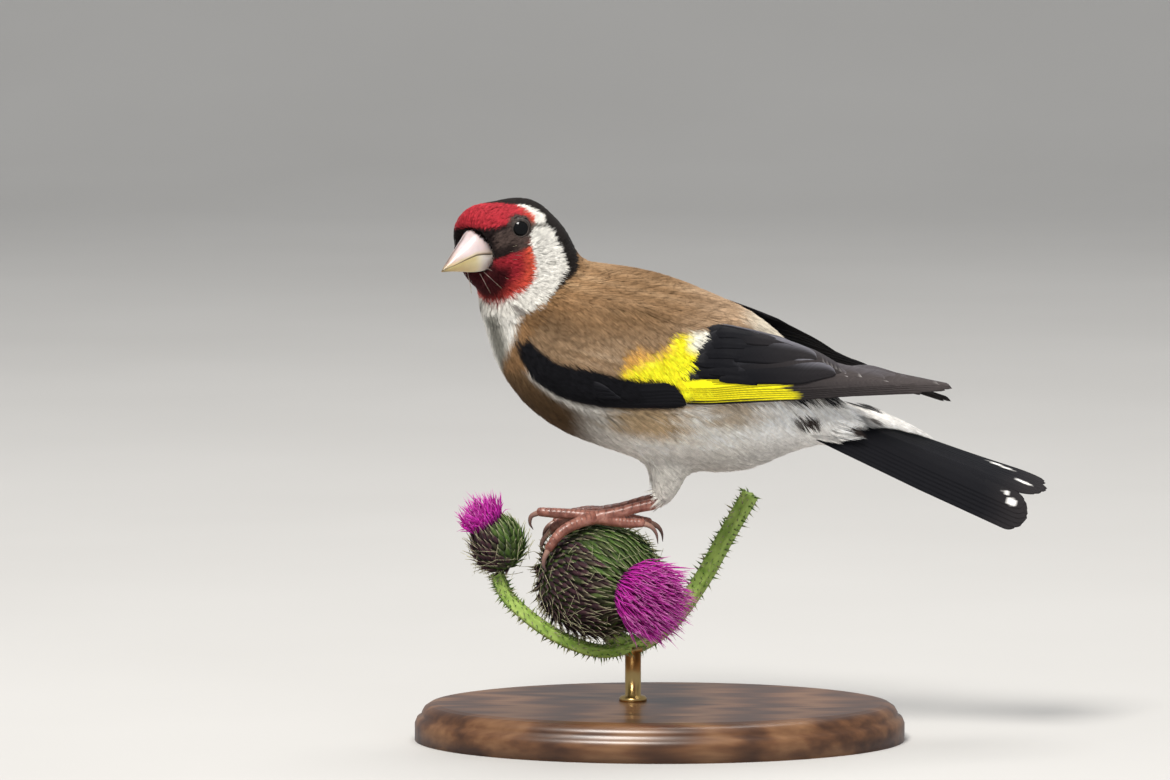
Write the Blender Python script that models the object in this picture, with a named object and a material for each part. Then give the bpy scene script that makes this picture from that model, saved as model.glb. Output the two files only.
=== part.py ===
"""European goldfinch, a life-size still model on a thistle perch and a plain display stand.

All lengths below are millimetres in the bird's own frame and become metres in MM.
The bird faces -X, its left side is towards -Y and up is +Z. The origin is the centre
of the underside of the base.
"""

import bmesh
import bpy
from math import pi, radians, sin
from mathutils import Matrix, Vector

MM = 0.001
GAP = 0.3
STEPS = 2
BODY_SIDES = 24

BODY_ROLL = 13.0
BODY_PIVOT = Vector((0.0, 0.0, 44.0))

HEAD_CENTRE = Vector((-28.3, -12.0, 96.5))
HEAD_YAW = 38.0
HEAD_PITCH = 17.0
HEAD_ROLL = 4.0

EYE_RADIUS = 2.3
EYE_FORWARD = 1.4
EYE_SIDE = 6.35
EYE_UP = 1.2

BILL_ROOT = 6.2
BILL_LENGTH = 11.0
MOUTH_HEIGHT = -1.05
MOUTH_DROP = 0.04

WING_THICK = 1.3
TAIL_LENGTH = 38.6
TAIL_ROOT = 5.6
TAIL_TIP = 7.9
TAIL_THICK = 1.5
TAIL_SLOPE = 23.0
TAIL_TWIST = 24.0
TAIL_FORK = 4.6
TAIL_SKEW = 2.4

PERCH_HEAD_CENTRE = Vector((-11.5, -1.0, 30.4))
PERCH_HEAD_RADII = (12.0, 13.0, 11.2)
FRONT_HEAD_CENTRE = Vector((-30.2, -3.5, 37.4))
FRONT_HEAD_RADII = (5.6, 5.8, 6.0)
STEM_RADIUS = 1.7

BASE_LENGTH = 92.0
BASE_WIDTH = 62.0
BASE_HEIGHT = 7.0
ROD_RADIUS = 1.5
ROD_X = -5.0
ROD_Y = 2.2
ROD_HEIGHT = 9.6

# Trunk stations: centre x and z, half height as x and z, half width, extra roll in degrees.
TRUNK = (
    (-22.8, 83.2, 8.8, 9.0, 12.0, 0.0),
    (-21.2, 82.4, 10.0, 9.2, 12.8, 0.0),
    (-17.6, 79.7, 11.0, 11.4, 13.8, 0.0),
    (-12.7, 76.6, 11.2, 13.6, 14.3, 0.0),
    (-6.5, 73.5, 11.0, 14.8, 14.3, 0.0),
    (0.4, 70.7, 10.1, 15.0, 13.7, 0.0),
    (7.5, 68.2, 8.4, 15.1, 12.5, 0.0),
    (14.0, 65.7, 6.5, 14.3, 10.8, 2.0),
    (20.1, 63.6, 4.8, 12.0, 9.2, 5.0),
    (25.0, 62.3, 3.5, 8.3, 7.6, 10.0),
    (29.7, 61.3, 2.4, 5.5, 6.4, 17.0),
    (34.4, 60.2, 1.2, 3.5, 5.8, TAIL_TWIST),
)

# Neck stations: centre x and z, half height as x and z, half width, yaw in degrees.
NECK = (
    (-26.9, 91.6, 6.4, 9.8, 9.6, 26.0),
    (-25.4, 88.9, 7.2, 9.9, 10.3, 16.0),
    (-24.0, 85.8, 8.1, 9.5, 11.0, 7.0),
)

# Head stations in the head's own frame: x forward, middle height, half height, half width, lean.
HEAD = (
    (9.3, -0.9, 5.2, 5.1, 0.0),
    (8.65, -1.1, 6.6, 6.5, 0.04),
    (7.45, -1.2, 7.5, 7.5, 0.13),
    (5.4, -1.15, 7.85, 8.3, 0.32),
    (2.75, -1.8, 8.1, 8.8, 0.57),
    (0.6, -3.3, 8.0, 9.3, 0.9),
)

# Bill stations: share of the length, half depth, half width, middle height.
BILL = (
    (0.0, 4.0, 3.4, -0.2),
    (0.2, 3.85, 3.15, -0.2),
    (0.4, 2.95, 2.45, -0.4),
    (0.6, 2.0, 1.7, -0.7),
    (0.8, 1.05, 0.95, -1.05),
    (0.94, 0.4, 0.4, -1.3),
    (1.0, 0.18, 0.18, -1.4),
)

# The hollow in the face that the bill comes out of: x forward, half depth, half width.
BILL_HOLLOW = (
    (6.1, 4.3, 3.7),
    (8.3, 4.6, 5.2),
    (10.5, 5.8, 7.4),
)

# Wing edge points for the left wing, lower then upper, and how far the middle stands out.
WING_LEFT = (
    ((-26.2, -8.6, 77.2), (-25.2, -9.2, 80.0), 0.3),
    ((-23.6, -11.6, 73.2), (-20.0, -10.8, 86.0), 1.3),
    ((-17.8, -14.2, 70.2), (-12.0, -10.8, 88.0), 2.0),
    ((-10.0, -15.2, 68.9), (-4.0, -9.8, 87.6), 2.3),
    ((4.3, -15.0, 68.8), (4.5, -7.7, 85.6), 2.3),
    ((15.0, -13.3, 68.5), (11.6, -5.7, 82.6), 2.1),
    ((25.6, -10.6, 68.0), (22.0, -4.1, 79.6), 1.7),
    ((37.2, -6.4, 68.3), (33.3, -2.7, 75.2), 1.0),
    ((48.6, -3.0, 67.3), (44.0, -1.4, 71.0), 0.5),
    ((54.2, -1.6, 67.4), (53.9, -1.3, 68.8), 0.1),
)
WING_RIGHT = (
    ((-26.2, 8.6, 77.2), (-25.2, 9.2, 80.0), 0.3),
    ((-23.6, 11.6, 73.2), (-20.0, 10.8, 86.0), 1.3),
    ((-17.8, 14.2, 70.2), (-12.0, 10.8, 88.0), 2.0),
    ((-10.0, 15.2, 68.9), (-4.0, 9.8, 87.6), 2.3),
    ((4.3, 15.0, 68.4), (4.5, 7.7, 85.2), 2.3),
    ((15.0, 13.3, 67.8), (11.6, 5.2, 83.0), 2.0),
    ((25.6, 10.6, 67.2), (22.0, 3.4, 78.8), 1.5),
    ((37.2, 6.4, 66.8), (33.3, 2.2, 73.6), 0.9),
    ((48.6, 2.8, 65.0), (44.0, 1.6, 68.6), 0.5),
    ((54.4, 1.3, 63.8), (54.0, 1.3, 65.2), 0.1),
)

# Thigh centre line and radii, heel to hip, for the left leg.
THIGH_LEFT = (
    (-0.2, -6.0, 45.4), (0.4, -6.1, 46.6), (1.0, -6.1, 49.2), (1.8, -5.6, 53.0), (2.6, -5.0, 57.0),
)
THIGH_RIGHT = (
    (0.8, 4.6, 45.2), (1.4, 4.6, 46.4), (2.0, 4.4, 49.2), (2.8, 4.0, 53.0), (3.4, 3.4, 57.0),
)
THIGH_RADII = (1.5, 2.3, 3.1, 4.2, 5.2)

# Bare leg lines: tarsus, then the four toes from the foot joint; each with its radii.
TARSUS_LEFT = ((-1.4, -6.0, 45.2), (-4.0, -6.0, 44.6), (-8.0, -5.7, 43.5), (-11.6, -5.4, 42.7))
TOES_LEFT = (
    ((-11.6, -5.4, 42.6), (-15.0, -7.0, 41.9), (-18.4, -8.3, 40.2), (-20.6, -8.8, 37.6)),
    ((-11.6, -5.4, 42.7), (-15.0, -5.0, 43.0), (-18.6, -4.2, 43.2), (-22.2, -3.4, 43.4)),
    ((-11.6, -5.4, 42.6), (-14.4, -3.0, 42.7), (-17.4, -1.4, 41.8), (-19.8, -0.6, 40.2)),
    ((-11.6, -5.4, 42.5), (-9.0, -5.6, 42.0), (-6.2, -5.6, 41.6), (-3.7, -5.6, 41.6)),
)
TARSUS_RIGHT = ((-0.4, 4.6, 45.0), (-3.0, 4.8, 44.4), (-7.0, 5.0, 43.2), (-10.6, 5.0, 42.3))
TOES_RIGHT = (
    ((-10.6, 5.0, 42.2), (-14.0, 6.8, 41.2), (-17.2, 8.2, 39.4), (-19.4, 8.6, 36.8)),
    ((-10.6, 5.0, 42.3), (-14.2, 5.0, 42.4), (-17.8, 4.6, 41.3), (-20.4, 4.2, 39.2)),
    ((-10.6, 5.0, 42.2), (-13.4, 3.0, 42.5), (-16.6, 1.8, 42.4), (-19.2, 1.2, 41.2)),
    ((-10.6, 5.0, 42.1), (-8.0, 5.0, 41.7), (-5.0, 4.8, 41.0), (-2.4, 4.6, 40.6)),
)
TARSUS_RADII = (1.05, 0.95, 0.95, 1.25)
TOE_RADII = (1.1, 0.95, 0.9, 0.8)
TOE_ROUNDING = 0.45

# Claws: two points along the arc and the tip; each starts a gap beyond its toe.
CLAWS_LEFT = (
    ((-21.6, -9.3, 35.4), (-21.7, -9.5, 34.0), (-21.1, -9.6, 32.9)),
    ((-24.0, -3.1, 42.6), (-24.3, -3.0, 41.2), (-23.7, -3.0, 40.0)),
    ((-21.4, -0.2, 38.3), (-22.0, -0.1, 37.0), (-22.0, 0.0, 35.7)),
    ((-1.7, -5.6, 40.9), (-0.7, -5.6, 39.5), (-0.4, -5.6, 37.6)),
)
CLAWS_RIGHT = (
    ((-20.4, 9.2, 34.9), (-20.5, 9.4, 33.6), (-20.0, 9.5, 32.5)),
    ((-21.8, 4.1, 37.4), (-22.3, 4.1, 36.1), (-22.2, 4.1, 34.8)),
    ((-20.9, 0.8, 40.2), (-21.7, 0.7, 39.0), (-21.9, 0.6, 37.6)),
    ((-0.5, 4.5, 39.8), (0.4, 4.5, 38.5), (0.6, 4.5, 36.8)),
)
CLAW_RADII = (0.6, 0.5, 0.34, 0.14)

STEM = (
    (17.0, 7.5, 45.5), (12.5, 8.4, 37.5), (7.5, 8.6, 28.5),
    (1.5, 6.2, 21.0), (-5.0, 2.4, 17.6), (-9.5, 0.0, 19.6),
)
SIDE_STEM = (
    (-3.5, 3.0, 18.0), (-11.0, -2.4, 16.9), (-20.0, -4.6, 20.5),
    (-28.0, -4.0, 26.8), (-30.6, -3.7, 32.0),
)


def material(name, colour, roughness, metallic=0.0):
    made = bpy.data.materials.new(name)
    made.use_nodes = True
    shader = made.node_tree.nodes["Principled BSDF"]
    shader.inputs["Base Color"].default_value = (*colour, 1.0)
    shader.inputs["Roughness"].default_value = roughness
    shader.inputs["Metallic"].default_value = metallic
    return made


def place(name, bm, slot):
    """One named object from a mesh built in millimetres."""
    bmesh.ops.recalc_face_normals(bm, faces=bm.faces)
    bmesh.ops.scale(bm, vec=(MM, MM, MM), verts=bm.verts)
    mesh = bpy.data.meshes.new(name)
    bm.to_mesh(mesh)
    bm.free()
    obj = bpy.data.objects.new(name, mesh)
    bpy.context.scene.collection.objects.link(obj)
    if slot:
        obj.data.materials.append(slot)
    return obj


def helper(name, bm):
    obj = place(name, bm, None)
    obj.hide_render = True
    obj.display_type = "WIRE"
    return obj


def boolean(obj, other, operation="DIFFERENCE"):
    modifier = obj.modifiers.new(other.name, "BOOLEAN")
    modifier.operation = operation
    modifier.solver = "EXACT"
    modifier.object = other


def smooth(stations, steps=STEPS):
    """Stations with Catmull-Rom ones between them; each is a tuple of vectors and numbers."""
    out = []
    last = len(stations) - 1
    for i in range(last):
        four = [stations[max(i - 1, 0)], stations[i], stations[i + 1], stations[min(i + 2, last)]]
        for step in range(steps):
            t = step / steps
            w = (
                0.5 * (-t + 2 * t * t - t**3),
                0.5 * (2 - 5 * t * t + 3 * t**3),
                0.5 * (t + 4 * t * t - 3 * t**3),
                0.5 * (t**3 - t * t),
            )
            out.append(tuple(sum((k * s[n] for k, s in zip(w[1:], four[1:])), w[0] * four[0][n])
                             for n in range(len(four[0]))))
    out.append(stations[last])
    return out


def loft(rings, segments):
    """A closed skin over rings, each given as centre, up and side vectors."""
    bm = bmesh.new()
    before = None
    for centre, up, side in rings:
        normal = side.cross(up).normalized()
        matrix = Matrix((side, up, normal)).transposed().to_4x4()
        matrix.translation = centre
        ring = bmesh.ops.create_circle(bm, segments=segments, radius=1.0, matrix=matrix)["verts"]
        if before is None:
            bm.faces.new(ring)
        else:
            for i in range(segments):
                j = (i + 1) % segments
                bm.faces.new((before[i], before[j], ring[j], ring[i]))
        before = ring
    bm.faces.new(before)
    return bm


def sweep(points, radii, segments, tip=False):
    """A round tube along points, its ends rounded off by a smaller ring."""
    line = smooth([(Vector(p), r) for p, r in zip(points, radii)])
    rings = []
    for i, (point, radius) in enumerate(line):
        ahead = line[min(i + 1, len(line) - 1)][0] - line[max(i - 1, 0)][0]
        ahead.normalize()
        side = ahead.cross(Vector((0, 0, 1))).normalized()
        if rings and side.dot(rings[-1][2]) < 0:
            side.negate()
        up = side.cross(ahead).normalized()
        rings.append((point, up * radius, side * radius, ahead))
    first, final = rings[0], rings[-1]
    start = (first[0] - first[3] * first[1].length * TOE_ROUNDING, first[1] * 0.62, first[2] * 0.62)
    end = (final[0] + final[3] * final[1].length * TOE_ROUNDING, final[1] * 0.62, final[2] * 0.62)
    plain = [ring[:3] for ring in rings]
    return loft(plain if tip else [start] + plain + [end], segments)


def rolled(point, roll=BODY_ROLL):
    """A point of the upright bird, leaned about the line through its feet."""
    return BODY_PIVOT + Matrix.Rotation(radians(roll), 3, "X") @ (Vector(point) - BODY_PIVOT)


def trunk_rings(grow=0.0):
    rings = []
    for x, z, half_x, half_z, width, roll in TRUNK:
        up = Vector((half_x, 0, half_z))
        up = up.normalized() * (up.length + grow)
        side = Vector((0, -width - grow, 0))
        normal = side.cross(up).normalized()
        turn = Matrix.Rotation(radians(BODY_ROLL), 3, "X") @ Matrix.Rotation(radians(roll), 3, normal)
        rings.append((rolled((x, 0, z)), turn @ up, turn @ side))
    return rings


def neck_rings(grow=0.0):
    rings = []
    for x, z, half_x, half_z, width, yaw in NECK:
        turn = Matrix.Rotation(radians(yaw), 3, "Z")
        roll = BODY_ROLL - (HEAD_ROLL + BODY_ROLL) * yaw / HEAD_YAW
        turn = turn @ Matrix.Rotation(radians(roll), 3, "X")
        up = Vector((half_x, 0, half_z))
        up = up.normalized() * (up.length + grow)
        rings.append((rolled((x, 0, z)), turn @ up, turn @ Vector((0, -width - grow, 0))))
    return rings


def head_matrix():
    """The head's own frame: x forward along the bill, y to the bird's left, z up."""
    facing = Matrix.Rotation(pi + radians(HEAD_YAW), 4, "Z")
    pitched = Matrix.Rotation(radians(HEAD_PITCH), 4, "Y")
    leaned = Matrix.Rotation(radians(HEAD_ROLL), 4, "X")
    return Matrix.Translation(HEAD_CENTRE) @ facing @ pitched @ leaned


def head_rings(grow=0.0):
    rings = []
    frame = head_matrix()
    turn = frame.to_3x3()
    for x, z, height, width, lean in HEAD:
        up = Vector((-lean * height, 0, height))
        up = up.normalized() * (up.length + grow)
        rings.append((frame @ Vector((x, 0, z)), turn @ up, turn @ Vector((0, width + grow, 0))))
    return rings


def body_split(grow=0.0):
    """The rings of head, neck and trunk, cut from one smooth run with a gap at each joint."""
    run = smooth(head_rings(grow) + neck_rings(grow) + trunk_rings(grow))
    head_end = (len(HEAD) - 1) * STEPS
    neck_end = head_end + len(NECK) * STEPS

    def after(index, distance):
        here, there = run[index], run[index + 1]
        share = distance / (there[0] - here[0]).length
        return tuple(here[n] + share * (there[n] - here[n]) for n in range(3))

    head = run[: head_end + 1] + ([after(head_end, grow)] if grow else [])
    neck = run[head_end : neck_end + 1]
    trunk = [after(neck_end, 2 * GAP)] + run[neck_end + 1 :]
    return head, neck, trunk


def facing_rings(stations):
    """Rings square to the bill, from x forward, half depth, half width and middle height."""
    frame = head_matrix()
    turn = frame.to_3x3()
    return [
        (frame @ Vector((x, 0, middle)), turn @ Vector((0, 0, depth)), turn @ Vector((0, width, 0)))
        for x, depth, width, middle in stations
    ]


def bill_rings():
    """Deep at the base, the culmen almost straight, ending in a fine point."""
    return facing_rings([(BILL_ROOT + share * BILL_LENGTH, *rest) for share, *rest in BILL])


def bill_half(upper):
    """One mandible: the whole bill cut along the closed mouth, with a hair gap between the two."""
    bm = loft(smooth(bill_rings(), 2), 16)
    frame = head_matrix()
    away = 0.15 if upper else -0.15
    point = frame @ Vector((BILL_ROOT, 0, MOUTH_HEIGHT + away))
    normal = frame.to_3x3() @ Vector((MOUTH_DROP, 0, 1.0)).normalized()
    geom = list(bm.verts) + list(bm.edges) + list(bm.faces)
    cut = bmesh.ops.bisect_plane(bm, geom=geom, dist=1e-5, plane_co=point, plane_no=normal,
                                 clear_inner=upper, clear_outer=not upper)
    rim = [item for item in cut["geom_cut"] if isinstance(item, bmesh.types.BMEdge)]
    bmesh.ops.contextual_create(bm, geom=rim)
    return bm


def ball(centre, radii, segments=20, grow=0.0):
    bm = bmesh.new()
    bmesh.ops.create_uvsphere(bm, u_segments=segments, v_segments=segments // 2, radius=1.0)
    bmesh.ops.scale(bm, vec=[r + grow for r in radii], verts=bm.verts)
    bmesh.ops.translate(bm, vec=centre, verts=bm.verts)
    return bm


def wing(stations, side):
    """A folded wing: a curved plate between its lower and upper edges."""
    along = smooth([(Vector(low), Vector(high), out) for low, high, out in stations])
    across = 6
    bm = bmesh.new()
    bmesh.ops.create_grid(bm, x_segments=len(along) - 1, y_segments=across, size=0.5)
    for vert in bm.verts:
        row = round((vert.co.x + 0.5) * (len(along) - 1))
        v = vert.co.y + 0.5
        low, high, out = along[row]
        point = low.lerp(high, v)
        point.y += side * out * sin(pi * v) ** 0.8
        vert.co = rolled(point)
    return thicken(bm, WING_THICK)


def thicken(bm, thickness):
    """Gives an open sheet its thickness, half to each side."""
    bm.normal_update()
    for vert in bm.verts:
        vert.co += vert.normal * thickness / 2
    bm.normal_update()
    bmesh.ops.solidify(bm, geom=list(bm.faces), thickness=thickness)
    return bm


def tail():
    """Twelve closed feathers as one slab: roof-shaped across, forked at the end."""
    bm = bmesh.new()
    rows, across = 6, 10
    bmesh.ops.create_grid(bm, x_segments=rows, y_segments=across, size=0.5)
    start = Vector((35.9, 0, 60.1))
    slope = Matrix.Rotation(radians(TAIL_SLOPE), 3, "Y")
    twist = Matrix.Rotation(radians(TAIL_TWIST), 3, "X")
    for vert in bm.verts:
        s = vert.co.x + 0.5
        v = 2 * vert.co.y
        reach = TAIL_LENGTH + TAIL_SKEW * v * s - TAIL_FORK * (1 - abs(v) ** 0.9)
        corner = max(abs(v) - 0.62, 0) / 0.38
        reach -= 3.4 * corner**2
        half = TAIL_ROOT + (TAIL_TIP - TAIL_ROOT) * s**0.8
        across_half = half * (1 - 0.1 * corner**2 * s)
        local = Vector((s * reach, v * across_half, -0.24 * abs(v) ** 1.5 * half))
        vert.co = rolled(start + slope @ (twist @ local))
    return thicken(bm, TAIL_THICK)


def foot(tarsus, toes):
    """The bare tarsus, and the four toes that are joined to it."""
    base = sweep(tarsus, TARSUS_RADII, 8)
    parts = [sweep(line, TOE_RADII, 8) for line in toes]
    return base, parts


def tuft(centre, axis, radius, length):
    """The brush of florets at the open end of a thistle head, flaring from the throat."""
    turn = axis.to_track_quat("Z", "Y").to_matrix()
    rings = []
    for share, width in ((0.0, 0.8), (0.35, 0.95), (0.75, 1.1), (1.0, 0.85)):
        half = radius * width
        up = turn @ Vector((0, half, 0))
        side = turn @ Vector((half, 0, 0))
        rings.append((centre + axis * length * share, up, side))
    return loft(rings, 16)


for old in list(bpy.data.objects):
    bpy.data.objects.remove(old)

feather_brown = material("feather_brown", (0.36, 0.23, 0.13), 0.9)
feather_red = material("feather_red", (0.45, 0.02, 0.02), 0.9)
feather_white = material("feather_white", (0.75, 0.7, 0.62), 0.9)
feather_black = material("feather_black", (0.02, 0.02, 0.02), 0.7)
horn_pink = material("horn_pink", (0.8, 0.62, 0.52), 0.4)
eye_black = material("eye_black", (0.01, 0.01, 0.01), 0.1)
leg_pink = material("leg_pink", (0.5, 0.27, 0.22), 0.55)
claw_horn = material("claw_horn", (0.3, 0.18, 0.13), 0.4)
thistle_green = material("thistle_green", (0.2, 0.32, 0.1), 0.7)
thistle_purple = material("thistle_purple", (0.45, 0.05, 0.4), 0.8)
stand_wood = material("stand_wood", (0.18, 0.09, 0.045), 0.45)
stand_brass = material("stand_brass", (0.65, 0.47, 0.2), 0.3, 1.0)

head_run, neck_run, trunk_run = body_split()
head = place("head", loft(head_run, BODY_SIDES), feather_red)
neck = place("neck", loft(neck_run, BODY_SIDES), feather_white)
trunk = place("trunk", loft(trunk_run, BODY_SIDES), feather_brown)

head_room, neck_room, trunk_room = (helper(label, loft(run, BODY_SIDES)) for label, run in zip(
    ("head_room", "neck_room", "trunk_room"), body_split(GAP)))
boolean(neck, head_room)
bill_room = helper("bill_room", loft(facing_rings([(*s, -0.3) for s in BILL_HOLLOW]), BODY_SIDES))
boolean(head, bill_room)
place("bill_upper", bill_half(True), horn_pink)
place("bill_lower", bill_half(False), horn_pink)

frame = head_matrix()
for label, side in (("left", 1), ("right", -1)):
    centre = frame @ Vector((EYE_FORWARD, side * EYE_SIDE, EYE_UP))
    place("eye_" + label, ball(centre, [EYE_RADIUS] * 3, 16), eye_black)
    socket = helper("socket_" + label, ball(centre, [EYE_RADIUS] * 3, 16, GAP))
    boolean(head, socket)

for label, stations, side in (("left", WING_LEFT, -1), ("right", WING_RIGHT, 1)):
    plate = place("wing_" + label, wing(stations, side), feather_black)
    boolean(plate, trunk_room)
    boolean(plate, neck_room)

place("tail", tail(), feather_black)

perch_room = helper("perch_room", ball(PERCH_HEAD_CENTRE, PERCH_HEAD_RADII, grow=GAP))
front_room = helper("front_room", ball(FRONT_HEAD_CENTRE, FRONT_HEAD_RADII, grow=GAP))
for label, thigh, tarsus, toes, claws in (
    ("left", THIGH_LEFT, TARSUS_LEFT, TOES_LEFT, CLAWS_LEFT),
    ("right", THIGH_RIGHT, TARSUS_RIGHT, TOES_RIGHT, CLAWS_RIGHT),
):
    upper = place("thigh_" + label, sweep(thigh, THIGH_RADII, 12), feather_white)
    boolean(upper, trunk_room)
    base, parts = foot(tarsus, toes)
    bare = place("foot_" + label, base, leg_pink)
    for number, part in enumerate(parts):
        boolean(bare, helper("toe_%s_%d" % (label, number + 1), part), "UNION")
    boolean(bare, perch_room)
    boolean(bare, front_room)
    thigh_room = [radius + GAP for radius in THIGH_RADII]
    boolean(bare, helper("thigh_room_" + label, sweep(thigh, thigh_room, 12)))
    for number, arc in enumerate(claws):
        before, end = Vector(toes[number][-2]), Vector(toes[number][-1])
        start = end + (end - before).normalized() * (TOE_ROUNDING * TOE_RADII[-1] + GAP)
        claw = sweep((start, *arc), CLAW_RADII, 6, True)
        place("claw_%s_%d" % (label, number + 1), claw, claw_horn)

perch_head = place("perch_head", ball(PERCH_HEAD_CENTRE, PERCH_HEAD_RADII), thistle_green)
front_head = place("perch_head_front", ball(FRONT_HEAD_CENTRE, FRONT_HEAD_RADII), thistle_green)
for label, centre, axis, radius, length, room in (
    ("perch_florets", PERCH_HEAD_CENTRE, Vector((0.62, -0.76, -0.12)), 5.9, 17.5, perch_room),
    ("perch_florets_front", FRONT_HEAD_CENTRE, Vector((-0.5, -0.1, 0.85)), 3.6, 10.0, front_room),
):
    brush = place(label, tuft(centre, axis.normalized(), radius, length), thistle_purple)
    boolean(brush, room)
stem = place("perch_stem", sweep(STEM, [STEM_RADIUS] * 6, 10), thistle_green)
boolean(stem, helper("side_stem", sweep(SIDE_STEM, [STEM_RADIUS * 0.8] * 5, 10)), "UNION")
boolean(stem, perch_room)
boolean(stem, front_room)

rod = bmesh.new()
bmesh.ops.create_cone(rod, cap_ends=True, segments=16, radius1=ROD_RADIUS, radius2=ROD_RADIUS,
                      depth=ROD_HEIGHT)
rod_middle = BASE_HEIGHT + GAP + ROD_HEIGHT / 2
bmesh.ops.translate(rod, vec=(ROD_X, ROD_Y, rod_middle), verts=rod.verts)
stand_rod = place("stand_rod", rod, stand_brass)
boolean(stand_rod, helper("stem_room", sweep(STEM, [STEM_RADIUS + GAP] * 6, 10)))
boolean(stand_rod, helper("side_room", sweep(SIDE_STEM, [STEM_RADIUS * 0.8 + GAP] * 5, 10)))

base = bmesh.new()
bmesh.ops.create_circle(base, cap_ends=True, segments=48, radius=0.5)
bmesh.ops.scale(base, vec=(BASE_LENGTH, BASE_WIDTH, 1), verts=base.verts)
sides = bmesh.ops.extrude_face_region(base, geom=list(base.faces))
top = [item for item in sides["geom"] if isinstance(item, bmesh.types.BMVert)]
bmesh.ops.translate(base, vec=(0, 0, BASE_HEIGHT), verts=top)
rim = [edge for edge in base.edges if all(vert.co.z > BASE_HEIGHT - 0.1 for vert in edge.verts)]
bmesh.ops.bevel(base, geom=rim, offset=1.2, segments=2, profile=0.5, affect="EDGES", material=-1)
place("stand_base", base, stand_wood)
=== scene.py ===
import heapq
from itertools import product
from math import cos, pi, radians, sin

import bmesh
import bpy
import numpy as np
from mathutils import Matrix, Vector, kdtree
from mathutils.bvhtree import BVHTree


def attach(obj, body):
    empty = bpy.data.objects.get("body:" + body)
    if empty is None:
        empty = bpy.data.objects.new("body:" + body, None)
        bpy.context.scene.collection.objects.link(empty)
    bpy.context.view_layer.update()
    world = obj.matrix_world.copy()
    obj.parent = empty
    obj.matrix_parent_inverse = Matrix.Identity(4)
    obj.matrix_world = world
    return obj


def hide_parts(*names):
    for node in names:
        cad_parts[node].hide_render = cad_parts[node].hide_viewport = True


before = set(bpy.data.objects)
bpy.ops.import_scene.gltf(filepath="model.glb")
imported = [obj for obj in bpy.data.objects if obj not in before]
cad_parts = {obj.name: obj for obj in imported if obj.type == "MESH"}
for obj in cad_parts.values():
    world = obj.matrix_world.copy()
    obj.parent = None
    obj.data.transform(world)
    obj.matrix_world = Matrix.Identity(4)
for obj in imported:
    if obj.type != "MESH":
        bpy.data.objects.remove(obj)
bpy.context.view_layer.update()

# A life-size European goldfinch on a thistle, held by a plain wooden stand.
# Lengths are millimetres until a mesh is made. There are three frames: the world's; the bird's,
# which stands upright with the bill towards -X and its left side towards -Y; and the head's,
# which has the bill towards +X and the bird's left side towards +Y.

rng = np.random.default_rng(20)
MM = 0.001

GOLDEN_ANGLE = pi * (3 - 5**0.5)
# The most light that any feather gives back.
BRIGHTEST = 0.95

BODY_PIVOT = np.array((0.0, 0.0, 44.0))
BODY_LEAN = 13.0
BODY_TURN = np.array(Matrix.Rotation(radians(BODY_LEAN), 3, "X"))
HEAD_CENTRE = np.array((-28.3, -12.0, 96.5))
HEAD_YAW, HEAD_PITCH, HEAD_ROLL = 38.0, 17.0, 4.0
HEAD_TURN = np.array(
    Matrix.Rotation(pi + radians(HEAD_YAW), 3, "Z")
    @ Matrix.Rotation(radians(HEAD_PITCH), 3, "Y")
    @ Matrix.Rotation(radians(HEAD_ROLL), 3, "X")
)
EYE_RADIUS = 2.3
EYE_PLACE = np.array((1.43, 6.02, 1.48))
EYE_AXIS = np.array((0.45, 0.89, 0.06)) / np.linalg.norm((0.45, 0.89, 0.06))
MOUTH_HEIGHT = -1.05


def rgb(*values):
    return np.array(values)


# Linear colours of the plumage.
RED = rgb(0.33, 0.020, 0.030)
SCARLET = rgb(0.57, 0.080, 0.042)
DARK_RED_AND_SHADE = rgb(0.032, 0.004, 0.006)
FACE_BLACK = rgb(0.012, 0.007, 0.007)
EYE_GREY = rgb(0.067, 0.046, 0.040)
CHEEK = rgb(0.71, 0.685, 0.63)
CAP_BLACK = rgb(0.012, 0.009, 0.008)
THROAT = rgb(0.76, 0.74, 0.69)
TAN = rgb(0.238, 0.132, 0.060)
MANTLE = rgb(0.222, 0.130, 0.064)
BACK_REAR = rgb(0.38, 0.255, 0.158)
COVERT_GREY = rgb(0.245, 0.158, 0.090)
BREAST = rgb(0.142, 0.083, 0.039)
FLANK = rgb(0.44, 0.295, 0.145)
BELLY = rgb(0.86, 0.82, 0.75)
VENT = rgb(0.85, 0.82, 0.78)
RUMP = rgb(0.62, 0.55, 0.44)
WING_BLACK = rgb(0.007, 0.007, 0.009)
YELLOW = rgb(0.93, 0.82, 0.012)
ORANGE = rgb(0.56, 0.30, 0.080)
WING_WHITE = rgb(0.80, 0.77, 0.66)
WORN = rgb(0.064, 0.054, 0.053)
FRINGE_AND_SHEEN = rgb(0.160, 0.156, 0.178)
WORN_TIP = rgb(0.55, 0.52, 0.50)
TAIL_WHITE = rgb(0.85, 0.83, 0.80)
THROAT_SHADE = rgb(0.175, 0.17, 0.145)
EYE_LINE = rgb(0.10, 0.09, 0.075)
CREASE_SHADE = rgb(0.30, 0.29, 0.26)


def to_bird(points):
    return (points - BODY_PIVOT) @ BODY_TURN + BODY_PIVOT


def to_world(points):
    return (points - BODY_PIVOT) @ BODY_TURN.T + BODY_PIVOT


def to_head(points):
    return (points - HEAD_CENTRE) @ HEAD_TURN


def from_head(points):
    return np.asarray(points) @ HEAD_TURN.T + HEAD_CENTRE


def to_tail(points):
    """Along the tail, across it and up from it, for points in the bird's frame."""
    return (points - TAIL_START) @ TAIL_TURN


def eye_seat(side):
    """Centre and axis of an eye in the head's frame; side is 1 for the left eye and -1 for the right."""
    return EYE_PLACE * (1, side, 1), EYE_AXIS * (1, side, 1)


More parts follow.
